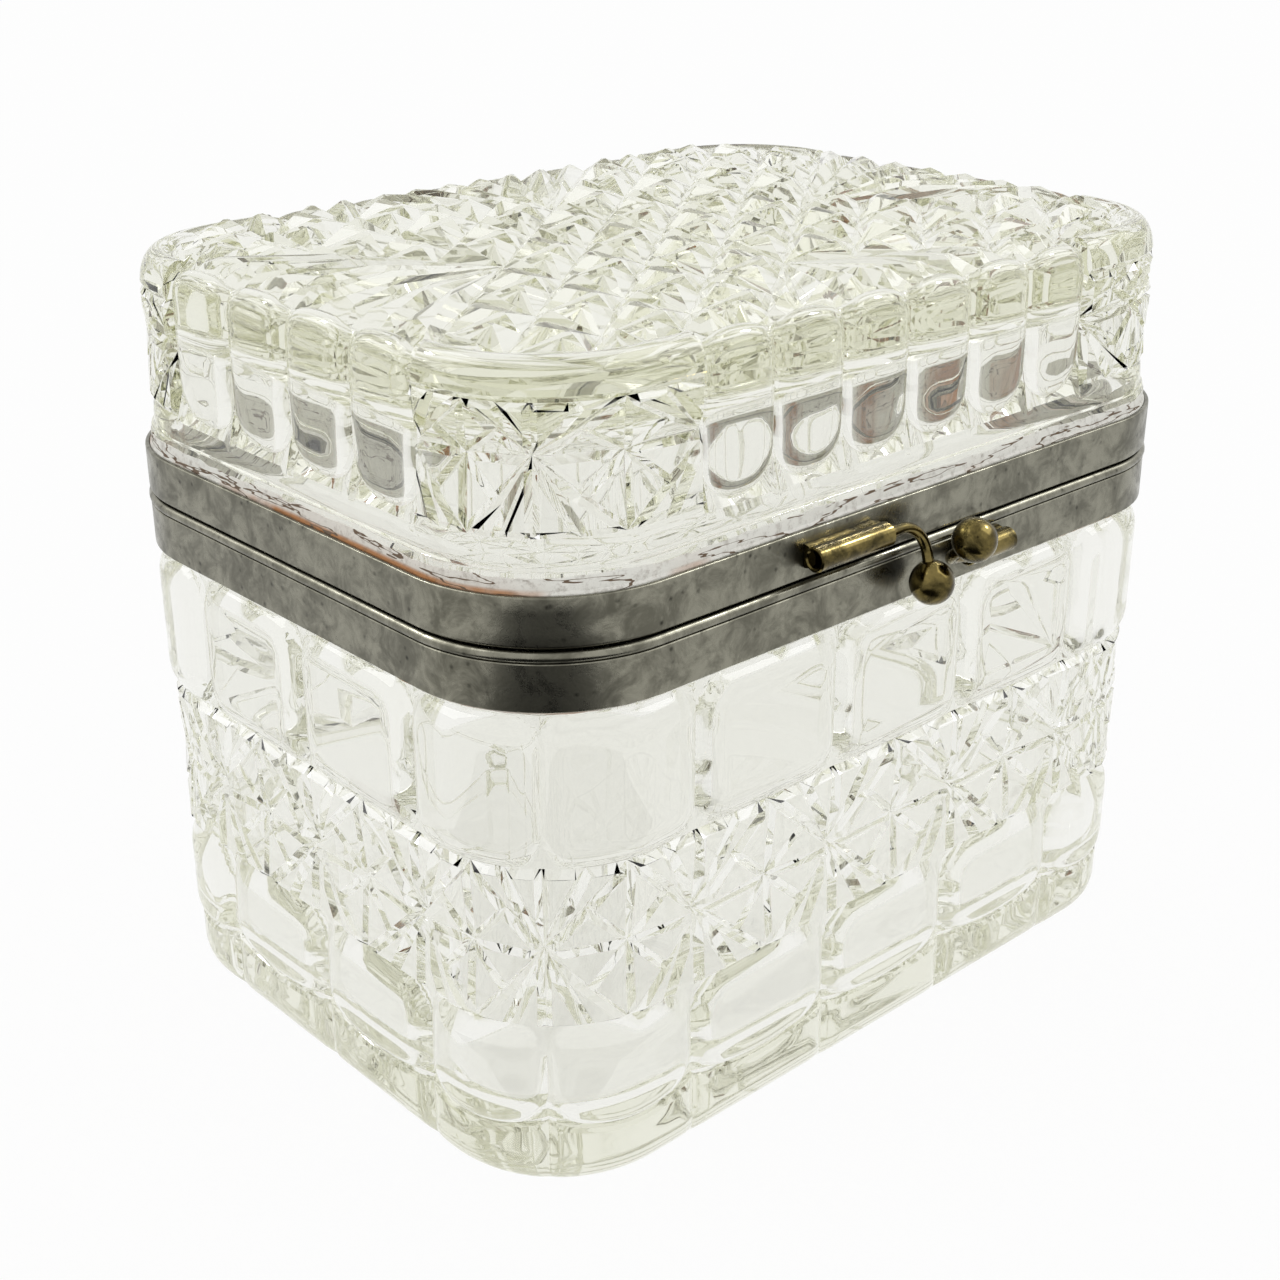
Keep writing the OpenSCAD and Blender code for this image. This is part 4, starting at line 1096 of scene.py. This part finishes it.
def top_field(relief, shape, outline, top_z):
    """Lozenges with stars and four fans on the lid's top, cut to the field's outline.

    Returns the loop of its edge as [(along, point), ...]."""
    # The sheet is flat, so its chart never closes on itself
    sheet = Relief(SimpleNamespace(length=1e9))
    valley = top_z - FIELD_DEPTH
    known = {}

    def spot(x, y, z):
        key = (round(x, 3), round(y, 3))
        if key not in known:
            known[key] = sheet.top_point(x, y, z)
        return known[key]

    cells_x = math.ceil(HALF_X / LOZENGE_X)
    cells_y = math.ceil(HALF_Y / LOZENGE_Y)
    for i in range(-cells_x, cells_x + 1):
        for j in range(-cells_y, cells_y + 1):
            in_fan = abs(j) < abs(i) - 1 or abs(i) < abs(j) - 1
            if (i + j) % 2 == 0 or in_fan:
                continue
            x, y = i * LOZENGE_X, j * LOZENGE_Y
            centre = spot(x, y, valley - CENTRE_SINK)
            rays = []
            for k, (step_x, step_y) in enumerate(RAY_ENDS):
                rays.append(spot(x + step_x / 2 * LOZENGE_X, y + step_y / 2 * LOZENGE_Y,
                                 valley if k % 2 else valley - RAY_SINK))
            for a, b in zip(rays, rays[1:] + rays[:1]):
                sheet.facet([centre, a, b], LOZENGE_X, top_z, make=sheet.top_point)
    for turn in range(4):
        ribbed_fan(sheet, spot, shape.fan_ribs, turn, valley, top_z)
    build = bmesh.new()
    corners = [build.verts.new(p) for p in sheet.points]
    for face in sheet.faces:
        build.faces.new([corners[i] for i in face])
    bmesh.ops.remove_doubles(build, verts=build.verts, dist=0.01)
    cut_to_field(build, outline, top_z)
    return adopt_sheet(relief, build, outline)


def ribbed_fan(sheet, spot, ribs, turn, valley, crest):
    """Long tapered ribs that open from one apex towards the middle of one side."""
    along_x = turn % 2 == 0
    sign = 1 if turn < 2 else -1
    apex_x, apex_y = (2 * LOZENGE_X * sign, 0) if along_x else (0, 2 * LOZENGE_Y * sign)
    apex = spot(apex_x, apex_y, valley - RAY_SINK)
    # Points along the fan's two straight edges, shared with the lozenges beside it
    edges = []
    for side in (-1, 1):
        edge = []
        for k in range(1, 2 * FAN_REACH + 1):
            dx = LOZENGE_X * k / 2 * (sign if along_x else side)
            dy = LOZENGE_Y * k / 2 * (side if along_x else sign)
            edge.append(spot(apex_x + dx, apex_y + dy, valley))
        edges.append(edge)
    start, end = [sheet.chart[edge[-1]] for edge in edges]
    far = [edges[0][-1]]
    for k in range(1, ribs):
        p = start.lerp(end, k / ribs)
        far.append(spot(p.x, p.y, valley))
    far.append(edges[1][-1])
    root = sheet.chart[apex]
    for k in range(ribs):
        tip = (sheet.chart[far[k]] + sheet.chart[far[k + 1]]) / 2
        near = root.lerp(tip, RIDGE_START)
        ridge = sheet.top_point(near.x, near.y, crest - RIDGE_DROP)
        end_ridge = sheet.top_point(tip.x, tip.y, crest)
        before = edges[0][:-1] if k == 0 else []
        after = edges[1][:-1] if k == ribs - 1 else []
        sheet.faces.append((apex, *before, far[k], ridge))
        sheet.faces.append((far[k], end_ridge, ridge))
        sheet.faces.append((apex, ridge, far[k + 1], *after[::-1]))
        sheet.faces.append((far[k + 1], ridge, end_ridge))


def cut_to_field(build, outline, top_z):
    """Cuts the sheet along the field's outline, with a sloping edge."""
    spots = [outline.middle(side) for side in range(4)]
    for corner in (1, 3, 5, 7):
        for k in range(1, CORNER_CUTS + 1):
            spots.append(outline.pieces[corner][0] + outline.arc * k / (CORNER_CUTS + 1))
    for along in spots:
        edge, normal = outline.at(along)
        base = edge - normal * FIELD_INSET
        bmesh.ops.bisect_plane(
            build, geom=build.verts[:] + build.edges[:] + build.faces[:], dist=0.0005,
            plane_co=(base.x, base.y, top_z - FIELD_DROP),
            plane_no=Vector((normal.x, normal.y, FIELD_SLOPE)).normalized(), clear_outer=True)
    loose = [v for v in build.verts if not v.link_faces]
    bmesh.ops.delete(build, geom=loose, context="VERTS")


def adopt_sheet(relief, build, outline):
    """Copies a cut sheet into the lid's relief and returns its edge loop."""
    index = {}
    for vert in build.verts:
        index[vert] = relief.top_point(*vert.co)
    for face in build.faces:
        relief.faces.append(tuple(index[v] for v in face.verts))
    rim = {v for edge in build.edges if len(edge.link_faces) == 1 for v in edge.verts}
    loop = [(outline.along_of(v.co.x, v.co.y), index[v]) for v in rim]
    build.free()
    return loop


# ---- Operators --------------------------------------------------------------------------
class CASKET_OT_body_glass(bpy.types.Operator):
    """Press the body: foot, two rows of blocks, the band of stars and the hollow."""
    bl_idname = "casket.body_glass"
    bl_label = "Body Glass"

    def execute(self, context):
        look = context.scene.casket_look
        # The body's glass density carries painted light that makes it paler than the lid
        glass = kept_material("body_pressed_glass", glass_material, "body_pressed_glass", look,
                              look.body_density_with_painted_light)
        piece = build_body_glass(measures(context.scene.casket_shape))
        settle(piece, glass, "body", "glass", "body_glass")
        return {"FINISHED"}


class CASKET_OT_lid_glass(bpy.types.Operator):
    """Press the lid: plinth, flutes, corner stars and the patterned top."""
    bl_idname = "casket.lid_glass"
    bl_label = "Lid Glass"

    def execute(self, context):
        look = context.scene.casket_look
        # The lid's glass density carries painted shade that makes it darker than the body
        glass = kept_material("lid_pressed_glass", glass_material, "lid_pressed_glass", look,
                              look.lid_density_with_painted_shade)
        piece = build_lid_glass(measures(context.scene.casket_shape))
        settle(piece, glass, "lid", "glass", "lid_glass")
        return {"FINISHED"}


RIM_SHEET = 0.7
FLANGE_INSET = 5.8
BURR = 0.15
BEAD_CENTRE = 0.56
BEAD_RADIUS = 0.75
BEAD_BELOW = 0.68
HEM_RADIUS = 0.5
LIP_RADIUS = 0.22
DENT = 0.05


def lid_rim_profile():
    """Band with a rolled-in lower edge, and a flange under the lid's glass."""
    low, high = LID_RIM_LOW.z, LID_RIM_HIGH.z
    sheet, flange = RIM_SHEET, FLANGE_INSET
    hem = arc_points((HEM_RADIUS, low + HEM_RADIUS), HEM_RADIUS, 270, 180, 8)
    lip = arc_points((LIP_RADIUS, high - LIP_RADIUS), LIP_RADIUS, 180, 90, 4)
    return hem + [(0.0, low + 2.0), (0.0, high - 2.0), (0.0, high - LIP_RADIUS)] + lip + [
        (sheet - BURR, high), (sheet, high - BURR), (sheet, low + sheet),
        (flange - BURR, low + sheet), (flange, low + sheet - BURR), (flange, low + BURR),
        (flange - BURR, low)]


def body_rim_profile():
    """Band with a bead rolled along its upper edge, and a flange over the body's glass."""
    low, high = BODY_RIM_LOW.z, BODY_RIM_HIGH.z
    sheet, flange = RIM_SHEET, FLANGE_INSET
    bead_z = high - BEAD_RADIUS
    band = [(0.12, low), (0.0, low + 0.12), (0.0, low + 2.0), (0.0, bead_z - 2.0),
            (0.0, bead_z - 0.86), (0.08, bead_z - 0.74), (0.3, bead_z - BEAD_BELOW)]
    return band + arc_points((BEAD_CENTRE, bead_z), BEAD_RADIUS, 238, 90, 14) + [
        (flange - BURR, high), (flange, high - BURR), (flange, high - sheet + BURR),
        (flange - BURR, high - sheet), (sheet, high - sheet), (sheet, low + 0.1),
        (sheet - 0.1, low)]


class CASKET_OT_rims(bpy.types.Operator):
    """Roll the two metal rims, each a band with an inward flange."""
    bl_idname = "casket.rims"
    bl_label = "Rims"

    def execute(self, context):
        outline = box_outline(measures(context.scene.casket_shape))
        metal = rim_material(context.scene.casket_look)

        def dents(along, inset, z):
            deep = DENT * (1 + drift(along, outline, z * 0.12, 9.0))
            return (deep if inset < RIM_SHEET * 0.5 else 0.0), 0.0

        for body, profile in (("lid", lid_rim_profile()), ("body", body_rim_profile())):
            rim = sweep_round(body + "_rim_band", outline, profile, dents, 1.5)
            settle(rim, metal, body, "rim_metal", body + "_rim")
        return {"FINISHED"}


SMEAR_HEIGHT = 1.7
LID_SHOW_Z = LID_RIM_HIGH.z + 0.1
BODY_SHOW_Z = BODY_RIM_LOW.z - 0.4
SEATING = 0.02


class CASKET_OT_plaster(bpy.types.Operator):
    """Bed the glass lips in plaster, which shows as a ragged line along each rim."""
    bl_idname = "casket.plaster"
    bl_label = "Plaster"

    def execute(self, context):
        shape = measures(context.scene.casket_shape)
        outline = box_outline(shape)
        plaster = kept_material("stained_plaster", plaster_material, context.scene.casket_look)
        outer = RIM_SHEET + 0.01
        inner = shape.glass_inset - SEATING
        flange = FLANGE_INSET - 0.05

        def uneven(along, fine, coarse, fine_size, coarse_size, seed):
            return (fine * drift(along, outline, seed, fine_size)
                    + coarse * drift(along, outline, seed + 2.0, coarse_size))

        def ragged_up(along, inset, z):
            if z > LID_SHOW_Z + 0.5 * SMEAR_HEIGHT:
                return 0.0, uneven(along, 0.35, 0.5, 2.5, 14, 3.0)
            return 0.0, (uneven(along, 0.14, 0.1, 1.5, 12, 3.0) if z > LID_RIM_HIGH.z else 0.0)

        def ragged_down(along, inset, z):
            return 0.0, (uneven(along, 0.14, 0.1, 1.5, 12, 7.0) if z < BODY_RIM_LOW.z else 0.0)

        low = LID_RIM_LOW.z + RIM_SHEET + SEATING
        high = BODY_RIM_HIGH.z - RIM_SHEET - SEATING
        smear_z = LID_SHOW_Z + SMEAR_HEIGHT
        lid_profile = [(outer, low), (outer, LID_SHOW_Z), (inner - 0.16, LID_SHOW_Z + 0.3),
                       (inner - 0.1, smear_z), (inner, smear_z + 0.08),
                       (inner, LID_LOW.z - SEATING), (flange, LID_LOW.z - SEATING),
                       (flange, low)]
        body_profile = [(outer, high), (flange, high), (flange, BODY_HIGH.z + SEATING),
                        (inner, BODY_HIGH.z + SEATING), (inner, BODY_SHOW_Z - 0.06),
                        (outer, BODY_SHOW_Z)]
        for body, profile, ragged in (("lid", lid_profile, ragged_up),
                                      ("body", body_profile, ragged_down)):
            bed = sweep_round(body + "_plaster_bed", outline, profile, ragged, 0.8)
            settle(bed, plaster, body, "plaster", body + "_plaster")
        return {"FINISHED"}


class CASKET_OT_hinge(bpy.types.Operator):
    """Finish the hinge behind the box, whose leaves, knuckles and pin come from the frame."""
    bl_idname = "casket.hinge"
    bl_label = "Hinge"

    def execute(self, context):
        look = context.scene.casket_look
        for node in ("body_hinge_leaf", "lid_hinge_leaf"):
            dress(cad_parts[node], rim_material(look))
        dress(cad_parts["hinge_pin"], brass_material(look))
        return {"FINISHED"}


# ---- Clasp ------------------------------------------------------------------------------
SLEEVE_RADIUS = 1.65
SLEEVE_BORE = 1.1
SLEEVE_STAND_OFF = 1.8
SLEEVE_EDGE = 0.18
SHANK_RADIUS = 1.1
STEM_RADIUS = 0.75
STEM_BEND = 4.0
BALL_RADIUS = 3.0
BALL_ROWS = 28
BALL_COLLAR = 0.36
BALL_UNEVEN = 0.012
SOLDER_STEPS = 24
SOLDER_SECTION = ((0.0, -1.75), (-0.35, -1.72), (-1.15, -1.45), (-1.9, -0.6), (-1.9, 0.6),
                  (-1.15, 1.45), (-0.35, 1.72), (0.0, 1.75))
AHEAD = Vector((1, 0, 0))


def circle(centre, side, other, radius, sides):
    turns = [2 * math.pi * i / sides for i in range(sides)]
    return [centre + (side * math.cos(t) + other * math.sin(t)) * radius for t in turns]


def loft(name, rows, smooth_below, closed=False):
    """A skin over rows of points, joined up to the first row or else with flat ends."""
    sides = len(rows[0])
    points = [point for row in rows for point in row]
    faces = []
    for k in range(len(rows) if closed else len(rows) - 1):
        low, high = k * sides, (k + 1) % len(rows) * sides
        for i in range(sides):
            j = (i + 1) % sides
            faces.append((low + i, low + j, high + j, high + i))
    if not closed:
        faces.append(tuple(range(sides))[::-1])
        faces.append(tuple(range(len(points) - sides, len(points))))
    return mesh_object(name, points, faces, smooth_below)


def sleeve_axis(box):
    """Middle of a sleeve's left end, and its length."""
    low, high = box
    return Vector((low.x, -HALF_Y - SLEEVE_STAND_OFF, (low.z + high.z) / 2)), high.x - low.x


def build_sleeve(name, box):
    start, long = sleeve_axis(box)
    edge = SLEEVE_EDGE
    side = AHEAD.orthogonal().normalized()
    profile = ((edge, SLEEVE_RADIUS), (long / 2, SLEEVE_RADIUS), (long - edge, SLEEVE_RADIUS),
               (long, SLEEVE_RADIUS - edge), (long, SLEEVE_BORE + edge),
               (long - edge, SLEEVE_BORE), (edge, SLEEVE_BORE), (0, SLEEVE_BORE + edge),
               (0, SLEEVE_RADIUS - edge))
    rows = [circle(start + AHEAD * along, side, AHEAD.cross(side), radius, 40)
            for along, radius in profile]
    return loft(name, rows, 35, closed=True)


def build_solder(name, box):
    """Uneven bed of solder between a sleeve and its band."""
    start, long = sleeve_axis(box)
    rows = []
    for k in range(SOLDER_STEPS + 1):
        x = start.x + 0.25 + (long - 0.5) * k / SOLDER_STEPS
        swell = 0.9 + 0.1 * noise.noise(Vector((x * 0.7, 4.2, 1.3)))
        rows.append([Vector((x, dy - HALF_Y, start.z + dz * swell)) for dy, dz in SOLDER_SECTION])
    return loft(name, rows, 50)


def build_stem(name, box, side, ball, across):
    """Springy wire from inside its sleeve to inside its ball, thicker in the sleeve."""
    start, long = sleeve_axis(box)
    mouth = start + AHEAD * (long if side > 0 else 0)
    out = AHEAD * side
    run = (ball.x - mouth.x) * side
    rise = math.hypot(ball.y - mouth.y, ball.z - mouth.z)
    bend_start = run - STEM_BEND
    path = [(mouth + out * step, SHANK_RADIUS) for step in (-6.0, -1.0, 0.3)]
    for k in range(1, 7):
        path.append((mouth + out * blend(0.3, bend_start, k / 6),
                     blend(SHANK_RADIUS, STEM_RADIUS, (k / 6) ** 0.8)))
    centre = mouth + out * bend_start + across * STEM_BEND
    for k in range(1, 13):
        turn = QUARTER_TURN * k / 12
        path.append((centre + (out * math.sin(turn) - across * math.cos(turn)) * STEM_BEND,
                     STEM_RADIUS))
    path.append((mouth + out * run + across * (rise - BALL_RADIUS + 0.2), STEM_RADIUS))
    beside = out.orthogonal().normalized()
    rows = []
    for k, (spot, radius) in enumerate(path):
        ahead = path[min(k + 1, len(path) - 1)][0] - path[max(k - 1, 0)][0]
        ahead.normalize()
        beside = (beside - ahead * beside.dot(ahead)).normalized()
        rows.append(circle(spot, beside, ahead.cross(beside), radius, 32))
    return loft(name, rows, 35)


def build_ball(name, centre, across):
    """Cast ball, very slightly uneven, with a small collar where the stem enters."""
    side = across.orthogonal().normalized()
    rows = []
    for k in range(BALL_ROWS + 1):
        angle = blend(BALL_COLLAR, math.pi - 0.02, k / BALL_ROWS)
        ring = circle(-across * math.cos(angle), side, across.cross(side), math.sin(angle), 48)
        rows.append([centre + out * BALL_RADIUS
                     * (1 - BALL_UNEVEN * (1 + noise.noise(out * 1.7))) for out in ring])
    return loft(name, rows, 60)


class CASKET_OT_clasp(bpy.types.Operator):
    """Make the clasp: on each rim a soldered sleeve, a bent springy stem and a ball."""
    bl_idname = "casket.clasp"
    bl_label = "Clasp"

    def execute(self, context):
        brass = brass_material(context.scene.casket_look)
        for body, side in (("lid", 1), ("body", -1)):
            arm = body + "_clasp"
            box = node_box(arm + "_sleeve")
            ball = sum(node_box(arm + "_ball"), Vector()) / 2
            axis = sleeve_axis(box)[0]
            across = Vector((0, ball.y - axis.y, ball.z - axis.z)).normalized()
            settle(build_sleeve(body + "_sleeve_tube", box), brass, body, "brass",
                   arm + "_sleeve")
            settle(build_solder(body + "_sleeve_solder", box), brass, body, "brass")
            settle(build_stem(body + "_stem_wire", box, side, ball, across), brass, arm,
                   "brass", arm + "_stem")
            settle(build_ball(body + "_ball_cast", ball, across), brass, arm, "brass",
                   arm + "_ball")
        return {"FINISHED"}


# ---- Stage ------------------------------------------------------------------------------
LAMP_TARGET = Vector((0, 0, 0.08))
SOFTBOX_SIZE = 0.5
SPOT_SIZE = 0.06
SOFTBOXES = (("left_softbox", (-0.36, 0.30, 0.50)), ("right_softbox", (0.36, -0.26, 0.52)))
SPOTS = (("left_spot", (-0.28, 0.38, 0.46)), ("right_spot", (0.40, -0.20, 0.48)))
FLOOR_GLOW = 0.93
BOUNCES = 32
GLOSSY_BOUNCES = 24


def add_lamp(name, place, size, power):
    """Square lamp that only reflections show."""
    light = bpy.data.lights.new(name, "AREA")
    light.shape = "RECTANGLE"
    light.size = light.size_y = size
    light.energy = power
    item = bpy.data.objects.new(name, light)
    item.visible_diffuse = False
    item.visible_transmission = False
    item.location = place
    item.rotation_mode = "QUATERNION"
    item.rotation_quaternion = (LAMP_TARGET - item.location).to_track_quat("-Z", "Y")
    bpy.context.scene.collection.objects.link(item)


def add_sheet(name, paint, half_x, half_y, place):
    """Flat sheet that lies level, and its material's graph."""
    mesh = bpy.data.meshes.new(name)
    mesh.from_pydata([(-half_x, -half_y, 0), (half_x, -half_y, 0), (half_x, half_y, 0),
                      (-half_x, half_y, 0)], [], [(0, 1, 2, 3)])
    sheet = bpy.data.objects.new(name, mesh)
    sheet.location = place
    bpy.context.scene.collection.objects.link(sheet)
    material, graph = fresh_material(paint)
    mesh.materials.append(material)
    return sheet, graph


class CASKET_OT_stage(bpy.types.Operator):
    """Set the pale floor, the soft light and the camera."""
    bl_idname = "casket.stage"
    bl_label = "Stage"

    def execute(self, context):
        scene = context.scene
        stage = scene.casket_stage
        self.make_camera(scene, stage)
        self.make_floor()
        self.make_world(scene, stage)
        for name, place in SOFTBOXES:
            add_lamp(name, place, SOFTBOX_SIZE, stage.key)
        for name, place in SPOTS:
            add_lamp(name, place, SPOT_SIZE, stage.spot)
        self.make_dark_card()
        scene.view_settings.view_transform = "Standard"
        scene.cycles.max_bounces = BOUNCES
        scene.cycles.transmission_bounces = BOUNCES
        scene.cycles.glossy_bounces = GLOSSY_BOUNCES
        return {"FINISHED"}

    def make_camera(self, scene, stage):
        camera = bpy.data.cameras.new("photo_camera")
        camera.lens = stage.lens
        camera.sensor_width = 36.0
        camera.clip_start = 0.01
        camera.clip_end = 50.0
        item = bpy.data.objects.new("photo_camera", camera)
        scene.collection.objects.link(item)
        level = math.cos(stage.elevation)
        back = Vector((math.sin(stage.azimuth) * level, -math.cos(stage.azimuth) * level,
                       math.sin(stage.elevation)))
        across = (-back).cross(Vector((0, 0, 1))).normalized()
        upright = across.cross(-back)
        right = across * math.cos(stage.roll) + upright * math.sin(stage.roll)
        up = upright * math.cos(stage.roll) - across * math.sin(stage.roll)
        turn = Matrix((right, up, back)).transposed().to_4x4()
        item.matrix_world = Matrix.Translation(Vector(stage.place)) @ turn
        scene.camera = item

    def make_floor(self):
        """Pale floor that shows white like the world but keeps the shadow."""
        floor, graph = add_sheet("floor", "pale_floor", 4.0, 4.0, (0, 0, -0.0001))
        matt = graph.add("ShaderNodeBsdfPrincipled", {
            "Base Color": (0.9, 0.9, 0.89, 1), "Roughness": 0.85})
        glow = graph.add("ShaderNodeEmission", {"Color": (1, 1, 1, 1), "Strength": 1.0})
        graph.end(Surface=graph.add("ShaderNodeMixShader", {
            0: graph.math("MULTIPLY", graph.seen(), FLOOR_GLOW), 1: matt.outputs["BSDF"],
            2: glow.outputs["Emission"]}))

    def make_dark_card(self):
        """Dark card that the metal and the glass reflect but the camera doesn't see."""
        card, graph = add_sheet("camera_side_card", "camera_side_card_paint", 0.15, 0.1,
                                (-0.172, -0.161, 0.002))
        card.rotation_euler.z = math.radians(45)
        graph.end(Surface=graph.add("ShaderNodeEmission", {
            "Color": (0.02, 0.02, 0.02, 1), "Strength": 1.0}))
        card.visible_camera = False
        card.visible_shadow = False
        card.visible_diffuse = False
        card.visible_transmission = False

    def make_world(self, scene, stage):
        """White where it is seen, and the sky's strength where it lights."""
        world = bpy.data.worlds.new("white_room")
        world.use_nodes = True
        world.node_tree.nodes.clear()
        graph = Graph(world.node_tree)
        light = graph.add("ShaderNodeBackground", {
            "Color": (1, 1, 1, 1), "Strength": graph.spread(graph.seen(), 0, 1, stage.sky, 1)})
        graph.add("ShaderNodeOutputWorld", {"Surface": light.outputs["Background"]})
        scene.world = world


class CASKET_PT_panel(bpy.types.Panel):
    """Lists the pieces of the casket and the sizes and colours that they use."""
    bl_label = "Casket"
    bl_idname = "CASKET_PT_panel"
    bl_space_type = "VIEW_3D"
    bl_region_type = "UI"
    bl_category = "Casket"

    def draw(self, context):
        layout = self.layout
        for operator in PIECES:
            layout.operator(operator.bl_idname)
        for group in (context.scene.casket_shape, context.scene.casket_look,
                      context.scene.casket_stage):
            box = layout.box()
            for name in group.__annotations__:
                box.prop(group, name)


PIECES = (CASKET_OT_body_glass, CASKET_OT_lid_glass, CASKET_OT_rims, CASKET_OT_plaster,
          CASKET_OT_hinge, CASKET_OT_clasp, CASKET_OT_stage)
GROUPS = (CasketShape, CasketLook, CasketStage)
CLASSES = GROUPS + PIECES + (CASKET_PT_panel,)


def register():
    for cls in CLASSES:
        bpy.utils.register_class(cls)
    bpy.types.Scene.casket_shape = PointerProperty(type=CasketShape)
    bpy.types.Scene.casket_look = PointerProperty(type=CasketLook)
    bpy.types.Scene.casket_stage = PointerProperty(type=CasketStage)


def unregister():
    del bpy.types.Scene.casket_stage
    del bpy.types.Scene.casket_look
    del bpy.types.Scene.casket_shape
    for cls in reversed(CLASSES):
        bpy.utils.unregister_class(cls)


def main():
    register()
    for operator in PIECES:
        module, name = operator.bl_idname.split(".")
        getattr(getattr(bpy.ops, module), name)()


if __name__ == "__main__":
    main()
